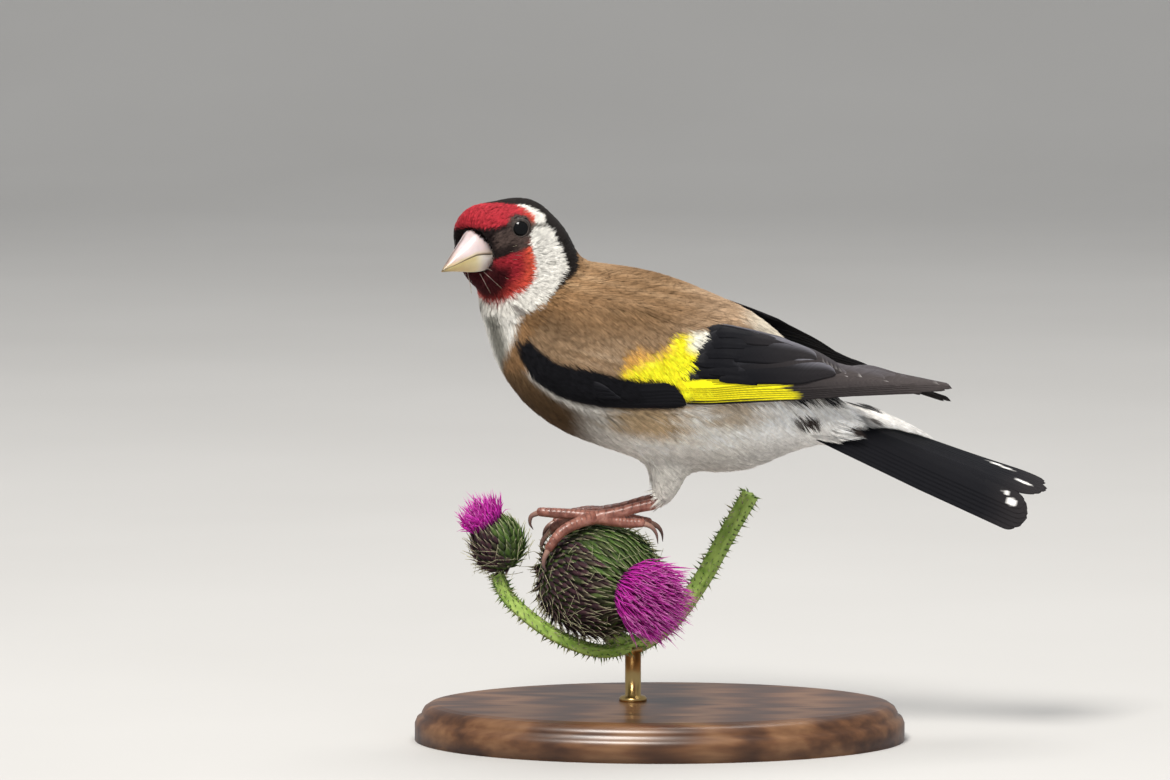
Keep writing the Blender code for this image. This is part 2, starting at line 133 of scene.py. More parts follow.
def soft(value, low, high):
    """0 below low, 1 above high, smooth between."""
    t = np.clip((value - low) / (high - low), 0, 1)
    return t * t * (3 - 2 * t)


def mix(first, second, share):
    """Blends two colours, or tables of them, by a share from 0 to 1."""
    share = np.asarray(share)[..., None]
    return first * (1 - share) + second * share


def blot(across, along, near, far):
    """1 inside an ellipse, 0 outside it: offsets are in shares of its half axes."""
    return 1 - soft(np.hypot(across, along), near, far)


def unit(vectors):
    return vectors / np.maximum(np.linalg.norm(vectors, axis=-1, keepdims=True), 1e-9)


# ---------------------------------------------------------------- wings and tail as surfaces

# Lower edge, upper edge and outward bulge of the folded wings from shoulder to tip, in the bird's
# frame, with y as the distance out from the middle plane. Both shoulders are alike.
SHOULDER = (
    ((-26.2, 8.6, 77.2), (-25.2, 9.2, 80.0), 0.3),
    ((-23.6, 11.6, 73.2), (-20.0, 10.8, 86.0), 1.3),
    ((-17.8, 14.2, 70.2), (-12.0, 10.8, 88.0), 2.0),
    ((-10.0, 15.2, 68.9), (-4.0, 9.8, 87.6), 2.3),
)
WING_EDGES = {
    "left": SHOULDER + (
        ((4.3, 15.0, 68.8), (4.5, 7.7, 85.6), 2.3),
        ((15.0, 13.3, 68.5), (11.6, 5.7, 82.6), 2.1),
        ((25.6, 10.6, 68.0), (22.0, 4.1, 79.6), 1.7),
        ((37.2, 6.4, 68.3), (33.3, 2.7, 75.2), 1.0),
        ((48.6, 3.0, 67.3), (44.0, 1.4, 71.0), 0.5),
        ((54.2, 1.6, 67.4), (53.9, 1.3, 68.8), 0.1),
    ),
    "right": SHOULDER + (
        ((4.3, 15.0, 68.4), (4.5, 7.7, 85.2), 2.3),
        ((15.0, 13.3, 67.8), (11.6, 5.2, 83.5), 2.0),
        ((25.6, 10.6, 67.2), (22.0, 3.4, 80.0), 1.5),
        ((37.2, 6.4, 66.8), (33.3, 2.2, 74.4), 0.9),
        ((48.6, 2.8, 65.0), (44.0, 1.6, 68.6), 0.5),
        ((54.4, 1.3, 63.8), (54.0, 1.3, 65.2), 0.1),
    ),
}
OUTWARD = {"left": -1.0, "right": 1.0}
# How far the vanes of a wing lie off its middle surface, and the share of its height from which
# the upper margin tucks in against the back instead of standing up from it.
VANE_LIFT = 0.65
TUCK_FROM = 0.88


def wing_edges(side, x):
    """Height and y of a wing's lower edge, the same of its upper edge, and its bulge, at x."""
    low, high = (np.array([row[k] for row in WING_EDGES[side]]) for k in (0, 1))
    bulge = np.array([row[2] for row in WING_EDGES[side]])
    out = OUTWARD[side]
    return (
        np.interp(x, low[:, 0], low[:, 2]), out * np.interp(x, low[:, 0], low[:, 1]),
        np.interp(x, high[:, 0], high[:, 2]), out * np.interp(x, high[:, 0], high[:, 1]),
        np.interp(x, low[:, 0], bulge),
    )


def wing_share(x, z):
    """How far up the left wing a point of its side view lies, 0 at the lower edge."""
    low_z, _, high_z, _, _ = wing_edges("left", x)
    return (z - low_z) / (high_z - low_z)


def wing_surface(side, x, share, lift):
    """World points on the outer face of a wing, from x and the share of its height."""
    low_z, low_y, high_z, high_y, bulge = wing_edges(side, x)
    inside = np.clip(share, 0, 1)
    rest = 1 - TUCK_FROM
    tucked = TUCK_FROM + rest * (1 - np.exp(-(np.maximum(share, TUCK_FROM) - TUCK_FROM) / rest))
    share = np.where(share > TUCK_FROM, tucked, share)
    y = low_y + (high_y - low_y) * np.clip(share, -0.1, 1.1)
    y = y + OUTWARD[side] * (bulge * np.sin(pi * inside) ** 0.8 + VANE_LIFT + lift)
    z = low_z + (high_z - low_z) * share
    return to_world(np.stack([x, y, z], -1))


TAIL_START = np.array((35.9, 0.0, 60.1))
TAIL_DROOP, TAIL_TWIST = 23.0, 24.0
TAIL_TURN = np.array(
    Matrix.Rotation(radians(TAIL_DROOP), 3, "Y") @ Matrix.Rotation(radians(TAIL_TWIST), 3, "X")
)
TAIL_LENGTH = 38.6
# Half widths of the closed tail.
TAIL_ROOT, TAIL_TIP = 5.6, 7.9


def tail_surface(along, across, lift):
    """World points on the upper face of the tail, from mm along it and mm across it."""
    share = np.clip(along / TAIL_LENGTH, 0, 1.1)
    half = TAIL_ROOT + (TAIL_TIP - TAIL_ROOT) * np.maximum(share, 0) ** 0.8
    v = across / half
    up = -0.24 * np.abs(v) ** 1.5 * half + 0.75 + lift
    return to_world(np.stack([along, across, up], -1) @ TAIL_TURN.T + TAIL_START)


# ---------------------------------------------------------------- markings

# The red face and the white behind it end at these angles from the bill, for angles round it from
# the crown down to the chin, all in degrees.
RED_EDGE = (
    (0, 10, 19, 33, 43, 55, 69, 79, 88, 96, 113, 124, 130, 136, 141, 148, 158, 169, 180),
    (70, 80, 89, 99, 104, 107, 108, 102, 88, 81, 80, 80, 78, 74, 69, 63, 58, 56, 55),
)
WHITE_EDGE = (
    (0, 10, 19, 33, 38, 43, 56, 74, 86, 100, 109, 116, 122, 127, 135, 140, 148, 160, 180),
    (65, 75, 84, 94, 104, 116, 121, 130, 118, 127, 121, 118, 114, 111, 107, 96, 100, 100, 100),
)
# The lower edge of the cheek and nape markings: x and z in the head's frame.
HEAD_END = (
    (-14.0, -10.0, -7.6, -6.7, -4.0, -2.2, 0.6, 1.9, 3.7, 5.9, 7.0, 9.0, 14.0),
    (-4.5, -7.2, -8.8, -9.6, -10.3, -10.7, -11.7, -12.4, -13.5, -14.1, -14.2, -13.5, -10.0),
)
# How far the black of the nape runs on as a hem below the cheek: x and its height.
NAPE_HEM = ((-6.0, -4.5, -4.0, -2.5, -1.3, 0.3, 1.8, 2.6), (2.6, 1.7, 1.45, 1.0, 0.75, 0.45, 0.2, -1.0))
# Where the tawny side of the neck meets the white throat: height and x.
THROAT_EDGE = (
    (62.0, 70.5, 74.7, 78.5, 80.6, 83.3, 85.4, 86.8, 89.5, 91.3, 96.0),
    (-24.5, -29.6, -28.6, -27.2, -26.2, -25.6, -24.7, -22.6, -19.6, -17.0, -13.0),
)
# The upper edges of the black shoulder band and of the yellow: x and height.
BAND_TOP = (
    (-27.0, -25.0, -22.6, -19.2, -15.7, -12.4, -9.1, -6.1, -1.9, 1.5, 3.5, 4.6),
    (82.5, 81.4, 79.0, 77.0, 76.3, 76.0, 75.0, 74.4, 73.9, 73.4, 72.4, 70.0),
)
YELLOW_TOP = (
    (-8.2, -7.0, -6.0, -3.7, -1.5, -0.4, 1.4, 2.6, 6.0, 9.0, 12.0),
    (74.0, 77.0, 79.4, 80.5, 79.6, 79.3, 80.2, 81.2, 81.7, 81.6, 81.0),
)
# Where the black inner coverts and tertials begin behind the yellow: height and x.
BLACK_FRONT = (
    (66.0, 72.1, 72.6, 73.1, 74.6, 76.8, 79.8, 81.3, 83.3, 84.5, 90.0),
    (5.6, 6.4, 13.0, 11.1, 8.6, 6.4, 8.5, 9.4, 11.5, 14.5, 30.0),
)


def round_bill(head):
    """Angles from the bill's direction and round it from the crown, for points in the head's frame."""
    theta = np.degrees(np.arccos(np.clip(head[:, 0] / np.linalg.norm(head, axis=1), -1, 1)))
    return theta, np.degrees(np.arctan2(np.abs(head[:, 1]), head[:, 2]))


def red_face(head, theta, alpha, edge):
    """The red face, scarlet towards its edge, with dark lores, and a chin of deeper red darkened further by
    painted shade.
    """
    x, y, z = head.T
    scarlet = soft(theta, edge - 19, edge - 1) * soft(alpha, 30, 80) * (1 - 0.6 * soft(alpha, 125, 150))
    colour = mix(RED, SCARLET, scarlet)
    # The chin is a deeper red, darkened further by painted shade.
    colour = mix(colour, DARK_RED_AND_SHADE, 0.95 * soft(alpha, 108, 132) * (1 - soft(theta, 49, 60)))
    # A dark patch runs from the bill to the eye, greyer towards the eye.
    top = 3.2 + 0.3 * np.clip(x - 6.2, 0, 3)
    lore = soft(x, 0.2, 2.2) * soft(z, -2.3 - 0.05 * x, -1.5 - 0.05 * x) * (1 - soft(z, top - 0.2, top + 0.5))
    black = np.maximum(soft(x + 0.35 * z, 7.1, 8.5), soft(z, 2.0, 2.9) * soft(x, 3.0, 4.6))
    black = np.maximum(black, 0.9 * (1 - soft(z, -1.0, 0.4)) * soft(x, 3.5, 5.5))
    colour = mix(colour, mix(EYE_GREY, FACE_BLACK, black), lore)
    # Grey rings the eye, and black the root of the bill.
    from_eye = np.linalg.norm(head - np.stack([x * 0 + 1.6, np.sign(y) * 6.9, x * 0 + 1.5], -1), axis=1)
    colour = mix(colour, EYE_GREY, 1 - soft(from_eye, 2.5, 3.1))
    return mix(colour, FACE_BLACK, 1 - soft(theta + 0.06 * np.abs(alpha - 90), 27, 33))


def head_marking(head):
    """Colours for points in the head's frame, and how much each belongs to the head."""
    x, y, z = head.T
    far = np.abs(y)
    theta, alpha = round_bill(head)
    red_edge = np.interp(alpha, *RED_EDGE)
    white_edge = np.interp(alpha, *WHITE_EDGE)
    colour = red_face(head, theta, alpha, red_edge)
    colour = mix(colour, CHEEK, soft(theta, red_edge - 1.5, red_edge + 1.5))
    hem = z - np.interp(x, *HEAD_END) - np.interp(x, *NAPE_HEM)
    black = np.maximum(
        soft(theta, white_edge - 1.5, white_edge + 1.5), (1 - soft(hem, -0.3, 0.3)) * soft(far, 5, 7)
    )
    colour = mix(colour, CAP_BLACK, black)
    # Small marks: a painted shadow as a dark streak under the cheek, a line behind the eye and painted shade
    # in a crease of the white.
    share = np.clip(((x - 7.3) * -1.4 + (z + 12.0) * -2.1) / 6.4, 0, 1)
    streak = np.hypot(x - 7.3 + 1.4 * share, z + 12.0 + 2.1 * share)
    colour = mix(colour, CAP_BLACK * 6, 0.75 * (1 - soft(streak, 0.2, 0.6)) * soft(far, 4.2, 5.2))
    line = np.abs(z - 1.3 - 0.375 * (x + 1)) + 0.5 * np.clip(-3.4 - x, 0, 9) + 0.5 * np.clip(x + 0.6, 0, 9)
    colour = mix(colour, EYE_LINE, 0.9 * (1 - soft(line, 0.2, 0.6)) * (1 - black))
    # Painted shade in a crease of the white.
    crease_shade = blot((x + 1.6) / 1.4, (z + 6.6 + 0.28 * (x + 1.6)) / 0.42, 0.5, 1.2)
    colour = mix(colour, CREASE_SHADE, 0.75 * crease_shade * (1 - black))
    return colour, soft(z - np.interp(x, *HEAD_END), -0.3, 0.3)


# Darker and paler places of the brown back and shoulders, partly painted light and shade, the paler ones
# along the top painted light from above: x, z, their reach in each, and brightness.
MOTTLES_AND_PAINTED_LIGHT = (
    (-20.5, 84.0, 4.6, 2.4, 0.60), (-14.0, 82.0, 3.5, 1.6, 0.88), (-9.5, 78.6, 5.5, 2.2, 1.32),
    (-15.0, 90.5, 7.0, 1.8, 1.38), (-3.0, 84.6, 5.0, 1.4, 0.88), (5.0, 87.5, 9.0, 1.6, 1.22),
)


def mottled(colour, bird):
    """A brown with darker and paler places, partly painted light and shade, and faint streaks; the paler
    places are greyer too.
    """
    x, y, z = bird.T
    bright = np.ones(len(x))
    for mid_x, mid_z, long, tall, level in MOTTLES_AND_PAINTED_LIGHT:
        bright *= level ** np.exp(-(((x - mid_x) / long) ** 2) - ((z - mid_z) / tall) ** 2)
    bright *= 1 + 0.07 * sum(
        sin(k) * np.sin(z * (1.7 + 0.5 * k) + x * (0.55 + 0.1 * k) + 2.1 * y * 0.3 + k) for k in range(1, 5)
    )
    pale = np.clip(bright - 1, 0, 1)[:, None] * np.array((0.0, 0.25, 0.6))
    return colour * bright[:, None] * (1 + pale)


# The keel of the breast and belly, and where the brown back ends above the pale underparts:
# x and height.
KEEL = ((-30, -20, -10, 0, 10, 20, 30, 36), (74, 60, 57, 55.5, 55, 56.5, 58, 58.5))
BACK_END = ((-30, -22, -12, 0, 12, 24, 36), (72, 74, 74, 74, 72, 66.5, 62.5))
# Where the black upper tail coverts begin, above the white of the vent: x and height.
TAIL_COVERTS_END = ((24, 30, 36, 44), (65.6, 65.2, 64.1, 61.7))
# Black feathers that show in the white of the vent: x, height and half sizes.
VENT_SPOTS = ((28.0, 62.0, 2.4, 1.3), (37.5, 60.2, 1.6, 1.0))


def underparts(bird):
    """Breast, flanks and belly."""
    x, y, z = bird.T
    far = np.abs(y)
    height = z - np.interp(x, *KEEL)
    colour = mix(BELLY, VENT, soft(x, 10, 24))
    # The flank's buff patches run out in streaks.
    ragged = 1.6 * np.sin(height * 2.3) + 1.0 * np.sin(height * 5.1 + 1.0)
    front = soft(height, 3.0, 7.0) * (1 - soft(x + ragged, 1, 9)) * soft(x + ragged, -13, -5)
    colour = mix(colour, FLANK, 0.9 * front)
    rear = soft(height, 6.0, 8.5) * soft(x + ragged, 8, 13) * (1 - soft(x + ragged, 15, 23))
    colour = mix(colour, FLANK * 0.8, 0.7 * rear)
    # Painted shade darkens the lower front of the underparts, towards the breast.
    colour = colour * (1 - 0.42 * (1 - soft(x, -14, 0)) * (1 - soft(z, 65, 71)))[:, None]
    # Painted shade darkens the keel, low along the underparts.
    keel = (1 - soft(height, 0.3, 4.0)) * soft(x, -6, 6) * (1 - soft(x, 22, 30))
    colour = colour * (1 - 0.32 * keel)[:, None]
    # Brown breast patches, darkened towards their lower part by painted shade, with a white sliver below the
    # wing.
    breast = (1 - soft(x, -17.5, -9.5)) * (1 - soft(z, 76, 80)) * soft(far, 0.5, 4.0)
    colour = mix(colour, BREAST * (0.55 + 0.45 * soft(z, 65, 73))[:, None], breast)
    sliver = np.exp(-(((z - np.interp(x, (-25, -19, -13.7), (74.2, 69.4, 67.0))) / 1.1) ** 2))
    return mix(colour, THROAT, 0.9 * sliver * soft(far, 9, 11) * (1 - soft(x, -13, -8)))


def body_marking(bird):
    """Colours of the trunk and neck for points in the bird's frame."""
    x, y, z = bird.T
    far = np.abs(y)
    back = mottled(mix(mix(TAN, MANTLE, soft(x, -20, -4)), BACK_REAR, soft(x, 2, 16)), bird)
    rump = soft(x, 22, 27)
    top = np.interp(x, *BACK_END)
    colour = mix(underparts(bird), back, soft(z, top - 1.2, top + 1.2) * (1 - rump))
    # The throat is white, with a shaded middle below the chin.
    edge = np.interp(z, *THROAT_EDGE) - 0.05 * far
    head = to_head(to_world(bird))
    middle = 1 - soft(np.abs(head[:, 1] + 1.0), 0.8, 4.2)
    white = (1 - soft(x, edge - 0.8, edge + 0.8)) * soft(head[:, 0], -5.5, -3.5)
    colour = mix(colour, mix(THROAT, THROAT_SHADE, 0.95 * middle), white)
    for spot_x, spot_z, wide, tall in VENT_SPOTS:
        dark = blot((x - spot_x) / wide, (z - spot_z) / tall, 0.7, 1.2)
        colour = mix(colour, CAP_BLACK * 3, dark * soft(far, 1, 3))
    colour = mix(colour, WING_BLACK, rump * soft(z - np.interp(x, *TAIL_COVERTS_END), -0.4, 0.4))
    # Between the wings the rump is pale, back to the black coverts of the tail.
    pale = (1 - soft(far, 3.2, 5.0)) * soft(x, 14, 20) * (1 - soft(x, 29, 32)) * soft(z, top - 1.5, top)
    return mix(colour, RUMP, pale)


def covert_colours(x, height, bird):
    """Brown shoulder, yellow patch and black band of a wing, from x and the height on the left wing."""
    colour = mix(COVERT_GREY, MANTLE, soft(height, 80.5, 85))
    colour = mottled(mix(colour, BACK_REAR, 0.6 * soft(x, 0, 10)), bird)
    top = np.interp(x, *YELLOW_TOP)
    yellow = 1 - soft(height, top - 0.5 - 1.7 * (1 - soft(x, -1.0, 3.0)), top + 0.5)
    # The patch is orange at its upper front and white at its upper rear.
    orange = soft(height - 76.1 - 0.4 * (x + 4.8), -1.8, 1.6) * (1 - soft(x, 1.0, 4.0))
    tint = mix(YELLOW * (1.02, 0.93, 1.5), ORANGE, orange)
    tint = mix(tint, WING_WHITE, soft(x, 4.5, 7.0) * soft(height, 77.5, 79.5))
    colour = mix(colour, tint, yellow * soft(x, -8.8, -6.2))
    front = np.interp(height, *BLACK_FRONT)
    colour = mix(colour, WING_BLACK, soft(x, front + 0.8, front + 2.0) * soft(height, 72.9, 73.7))
    band_top = np.interp(x, *BAND_TOP)
    return mix(colour, WING_BLACK, 1 - soft(height, band_top - 0.3, band_top + 0.4))


def wing_marking(bird):
    """Colours of the wing's coverts, how much each point belongs to them, and how much a wing covers it."""
    x, y, z = bird.T
    far = np.abs(y)
    low_z, low_y, high_z, high_y, _ = (
        np.where(y < 0, left, right) for left, right in zip(wing_edges("left", x), wing_edges("right", x))
    )
    share = (z - low_z) / (high_z - low_z)
    left_low, _, left_high, _, _ = wing_edges("left", x)
    colour = covert_colours(x, left_low + share * (left_high - left_low), bird)
    inside = soft(share - 0.09 * soft(x, 3.2, 6), -0.12, -0.02) * (1 - soft(share, 0.86, 1.0))
    inner = np.interp(x, (-2.0, 4.5, 11.6, 22.0, 33.0), (9.0, 6.1, 3.9, 2.5, 1.2))
    cover = inside * soft(far, inner, inner + 1.5) * soft(x, -27.5, -25.5)
    # Behind the shoulder only the outer wall is marked, not the rump's side under the wing.
    wall = np.abs(low_y + (high_y - low_y) * np.clip(share, 0, 1)) - 3.0
    outer = soft(far, wall, wall + 1.5)
    return colour, cover * (1 - (1 - outer) * soft(x, -2, 4.5)), cover


def plumage(points):
    """The goldfinch's colour at world points."""
    head_colour, head_share = head_marking(to_head(points))
    bird = to_bird(points)
    wing_colour, wing_share_here, _ = wing_marking(bird)
    colour = mix(body_marking(bird), wing_colour, wing_share_here)
    return mix(colour, head_colour, head_share)


# ---------------------------------------------------------------- materials


def shader_of(name, roughness, colour=(0.5, 0.5, 0.5), **sockets):
    """A new material; returns it, its tree and its shader."""
    made = bpy.data.materials.new(name)
    made.use_nodes = True
    tree = made.node_tree
    shader = tree.nodes["Principled BSDF"]
    shader.inputs["Base Color"].default_value = (*colour, 1.0)
    shader.inputs["Roughness"].default_value = roughness
    for label, value in sockets.items():
        shader.inputs[label.replace("_", " ")].default_value = value
    return made, tree, shader


def node(tree, kind, **settings):
    """A new node with its sockets, or else its properties, set by name."""
    made = tree.nodes.new("ShaderNode" + kind)
    for label, value in settings.items():
        if label in made.inputs:
            made.inputs[label].default_value = value
        else:
            setattr(made, label, value)
    return made


def wire(tree, start, end):
    tree.links.new(start, end)


def stretched(tree, source, stretch):
    """A place scaled along its axes, so that a texture shrinks along the larger of them."""
    mapping = node(tree, "Mapping", Scale=stretch)
    wire(tree, source, mapping.inputs["Vector"])
    return mapping.outputs["Vector"]


def noise(tree, source, scale, detail=3.0, stretch=(1, 1, 1)):
    made = node(tree, "TexNoise", Scale=scale, Detail=detail)
    wire(tree, stretched(tree, source, stretch), made.inputs["Vector"])
    return made.outputs["Fac"]


def ramp(tree, source, stops):
    """Colours by stops of a place and a colour."""
    made = node(tree, "ValToRGB")
    elements = made.color_ramp.elements
    while len(elements) < len(stops):
        elements.new(0.5)
    for element, (place, colour) in zip(elements, stops):
        element.position = place
        element.color = (*colour, 1.0)
    wire(tree, source, made.inputs["Fac"])
    return made.outputs["Color"]


def paint(tree, shader, source, stops):
    """The base colour by a ramp."""
    wire(tree, ramp(tree, source, stops), shader.inputs["Base Color"])


def bump(tree, shader, source, distance, strength=1.0):
    made = node(tree, "Bump", Strength=strength, Distance=distance)
    wire(tree, source, made.inputs["Height"])
    if shader.inputs["Normal"].is_linked:
        wire(tree, shader.inputs["Normal"].links[0].from_socket, made.inputs["Normal"])
    wire(tree, made.outputs["Normal"], shader.inputs["Normal"])


def tinted(tree, shader, base, factor, low=0.75, high=1.2):
    """Multiplies a base colour by a factor that runs from low to high."""
    shade = ramp(tree, factor, ((0.25, (low,) * 3), (0.75, (high,) * 3)))
    made = node(tree, "Mix", data_type="RGBA", blend_type="MULTIPLY")
    made.inputs["Factor"].default_value = 1.0
    first, second = [socket for socket in made.inputs if socket.type == "RGBA"]
    wire(tree, base, first)
    wire(tree, shade, second)
    shaded = [socket for socket in made.outputs if socket.type == "RGBA"][0]
    wire(tree, shaded, shader.inputs["Base Color"])


def attribute(tree, name, output="Fac"):
    return node(tree, "Attribute", attribute_name=name).outputs[output]


def object_place(tree):
    return node(tree, "TexCoord").outputs["Object"]


def plumage_material(name, roughness, scale, sheen):
    """Feathers in the colours of the plumage attribute, slightly mottled."""
    made, tree, shader = shader_of(
        name, roughness, Specular_IOR_Level=0.10, Sheen_Weight=sheen, Sheen_Roughness=0.5
    )
    colour = attribute(tree, "plumage", "Color")
    tinted(tree, shader, colour, noise(tree, object_place(tree), scale, 2.0), 0.86, 1.14)
    return made


def vane_material():
    """Flight feathers: barbs slanting back from the shaft, read from the vane attribute."""
    made, tree, shader = shader_of("flight_feather", 0.5, Specular_IOR_Level=0.10)
    colour = attribute(tree, "plumage", "Color")
    lie = attribute(tree, "vane", "Vector")
    barbs = node(tree, "TexWave", Scale=1.35, Distortion=1.4, Detail=2.0)
    barbs.inputs["Detail Scale"].default_value = 0.6
    wire(tree, lie, barbs.inputs["Vector"])
    streak = noise(tree, lie, 1.0, 3.0, (2.4, 0.25, 1))
    tinted(tree, shader, colour, streak, 0.82, 1.22)
    bump(tree, shader, barbs.outputs["Fac"], 0.00003, 0.35)
    return made


COAT = plumage_material("body_feather", 0.72, 1400.0, 0.04)
SKIN = plumage_material("skin_under_feathers", 0.8, 900.0, 0.0)
VANE = vane_material()


# ---------------------------------------------------------------- meshes


def placed(name, data):
    """A new object in the scene."""
    obj = bpy.data.objects.new(name, data)
    bpy.context.scene.collection.objects.link(obj)
    return obj


def settle(name, mesh, material, slot, replaces):
    """The finished mesh as a piece that rides on the one body."""
    mesh.materials.append(material)
    obj = placed(name, mesh)
    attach(obj, "root")
    if replaces:
        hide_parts(*replaces)
    return obj


def piece(name, bm, material, slot, replaces=(), smooth=True):
    """A finished piece from a bmesh in millimetres."""
    bmesh.ops.scale(bm, vec=(MM, MM, MM), verts=bm.verts)
    for face in bm.faces:
        face.smooth = smooth
    mesh = bpy.data.meshes.new(name)
    bm.to_mesh(mesh)
    bm.free()
    return settle(name, mesh, material, slot, replaces)


def array_piece(
    name, points, polygons, material, slot, colours, maps=None, vane=None, normals=None, replaces=()
):
    """A finished piece from arrays: polygons is a list of (count, n) index arrays."""
    mesh = bpy.data.meshes.new(name)
    mesh.vertices.add(len(points))
    mesh.vertices.foreach_set("co", (points * MM).astype(np.float32).ravel())
    corners = np.concatenate([p.ravel() for p in polygons]).astype(np.int32)
    totals = np.concatenate([np.full(len(p), p.shape[1], np.int32) for p in polygons])
    mesh.loops.add(len(corners))
    mesh.loops.foreach_set("vertex_index", corners)
    mesh.polygons.add(len(totals))
    mesh.polygons.foreach_set("loop_start", np.concatenate([[0], np.cumsum(totals)[:-1]]).astype(np.int32))
    mesh.polygons.foreach_set("use_smooth", np.ones(len(totals), bool))
    layer = mesh.color_attributes.new("plumage", "FLOAT_COLOR", "POINT")
    solid = np.column_stack([colours, np.ones(len(points))])
    layer.data.foreach_set("color", solid.astype(np.float32).ravel())
    if vane is not None:
        layer = mesh.attributes.new("vane", "FLOAT_VECTOR", "POINT")
        layer.data.foreach_set("vector", vane.astype(np.float32).ravel())
    if maps is not None:
        layer = mesh.uv_layers.new(name="OFBake")
        layer.uv.foreach_set("vector", maps[corners].astype(np.float32).ravel())
    mesh.update(calc_edges=True)
    mesh.validate()
    if normals is not None:
        mesh.normals_split_custom_set_from_vertices(normals.astype(np.float32))
    return settle(name, mesh, material, slot, replaces)


def absorb(whole, part):
    """Moves one bmesh into another."""
    mesh = bpy.data.meshes.new("part")
    part.to_mesh(mesh)
    part.free()
    whole.from_mesh(mesh)
    bpy.data.meshes.remove(mesh)


def smoothed(bm, rounds):
    for _ in range(rounds):
        bmesh.ops.smooth_vert(
            bm, verts=bm.verts, factor=0.5, use_axis_x=True, use_axis_y=True, use_axis_z=True
        )


def joined_rings(bm, rings):
    """Closes a skin over rings of as many vertices each, with a face at both ends."""
    bm.faces.new(rings[0])
    for before, ring in zip(rings, rings[1:]):
        for i in range(len(ring)):
            j = (i + 1) % len(ring)
            bm.faces.new((before[i], before[j], ring[j], ring[i]))
    bm.faces.new(rings[-1])
    bmesh.ops.recalc_face_normals(bm, faces=bm.faces)


# ---------------------------------------------------------------- the skin

VOXEL = 0.7
# The parts swell by PLUMP, and their join by CLOSING to fill the gaps where they meet. The skin then
# draws in by both again and by COAT_DEPTH, less on the head, the face and the legs.
PLUMP = 0.35
CLOSING = 1.7
COAT_DEPTH = 0.85
# The flesh of the folded wings ends at this x.
ARM_END = 12.0
# How deep the skin lies round an eye's centre, under the ball and at its rim.
SOCKET_FLOOR, SOCKET_RIM = 1.9, 2.28


def remeshed(bm, voxel):
    """The same solid with one even, closed skin."""
    mesh = bpy.data.meshes.new("skin_work")
    bm.to_mesh(mesh)
    bm.free()
    obj = placed("skin_work", mesh)
    voxels = obj.modifiers.new("voxels", "REMESH")
    voxels.mode = "VOXEL"
    voxels.voxel_size = voxel
    out = bmesh.new()
    out.from_object(obj, bpy.context.evaluated_depsgraph_get())
    bpy.data.objects.remove(obj)
    bpy.data.meshes.remove(mesh)
    return out


def swell(bm, distance):
    """Moves a skin outwards by a distance, or by a function of the place."""
    bm.normal_update()
    for vert, normal in [(v, v.normal.copy()) for v in bm.verts]:
        vert.co += normal * (distance(vert.co) if callable(distance) else distance)


def arm_only(part):
    """Cuts a wing off behind its arm and closes the cut."""
    geom = list(part.verts) + list(part.edges) + list(part.faces)
    cut = bmesh.ops.bisect_plane(
        part, geom=geom, plane_co=(ARM_END, 0, 0), plane_no=(1, 0, 0), clear_outer=True
    )
    rim = [item for item in cut["geom_cut"] if isinstance(item, bmesh.types.BMEdge)]
    bmesh.ops.holes_fill(part, edges=rim)


def skin_depth(place):
    """How far the swollen skin moves back at a place: below the CAD's face by the depth of the coat."""
    head = to_head(np.array(place)[None])[0]
    near = 1 - float(soft(np.linalg.norm(head), 13, 20))
    face = float(soft(head[0], -2, 6)) * near
    leg = 1 - float(soft(place.z, 50, 54))
    return -(CLOSING + PLUMP + COAT_DEPTH - 0.3 * near - 0.2 * face - 0.4 * leg)


def shape_head(skin):
    """A forehead that rises steeply from the bill, and a full nape."""
    skin.normal_update()
    for vert in skin.verts:
        x, y, z = to_head(np.array(vert.co)[None])[0]
        rise = 0.85 * np.exp(-((x - 5.5) / 3.2) ** 2 - ((z - 5.0) / 3.5) ** 2 - (y / 6.5) ** 2)
        rise += 0.45 * np.exp(-((x + 7.0) / 3.5) ** 2 - ((z + 2.0) / 4.5) ** 2 - (y / 9.0) ** 2)
        vert.co += vert.normal * float(rise)


def sink_sockets(skin):
    """Draws the skin in behind each eyeball and up to the rim of its lid."""
    for side in (-1, 1):
        seat, axis = eye_seat(side)
        middle, axis = Vector(from_head(seat)), Vector(HEAD_TURN @ axis)
        for vert in skin.verts:
            away = vert.co - middle
            if away.length < 4.0:
                angle = away.angle(axis)
                inner = 1 - float(soft(angle, 0.62, 0.80))
                rim = float(soft(angle, 0.62, 0.80)) * (1 - float(soft(angle, 1.0, 1.35)))
                outside = away.length * (1 - inner - rim)
                wanted = outside + SOCKET_FLOOR * inner + max(away.length, SOCKET_RIM) * rim
                vert.co = middle + away * (wanted / away.length)


def flesh():
    """Head, neck, trunk, thighs and the wings' arm part as one closed skin, filled where they meet."""
    whole = bmesh.new()
    for name in ("head", "neck", "trunk", "thigh_left", "thigh_right", "wing_left", "wing_right"):
        part = bmesh.new()
        part.from_mesh(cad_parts[name].data)
        bmesh.ops.scale(part, vec=(1 / MM, 1 / MM, 1 / MM), verts=part.verts)
        bmesh.ops.remove_doubles(part, verts=part.verts, dist=0.001)
        if name.startswith("wing"):
            arm_only(part)
        swell(part, PLUMP)
        absorb(whole, part)
    for side in (-1, 1):
        ball = bmesh.new()
        bmesh.ops.create_icosphere(ball, subdivisions=3, radius=EYE_RADIUS)
        bmesh.ops.translate(ball, vec=Vector(from_head(eye_seat(side)[0])), verts=ball.verts)
        absorb(whole, ball)
    skin = remeshed(whole, VOXEL)
    swell(skin, CLOSING)
    skin = remeshed(skin, VOXEL)
    smoothed(skin, 1)
    swell(skin, skin_depth)
    skin = remeshed(skin, VOXEL)
    smoothed(skin, 3)
    shape_head(skin)
    sink_sockets(skin)
    return skin


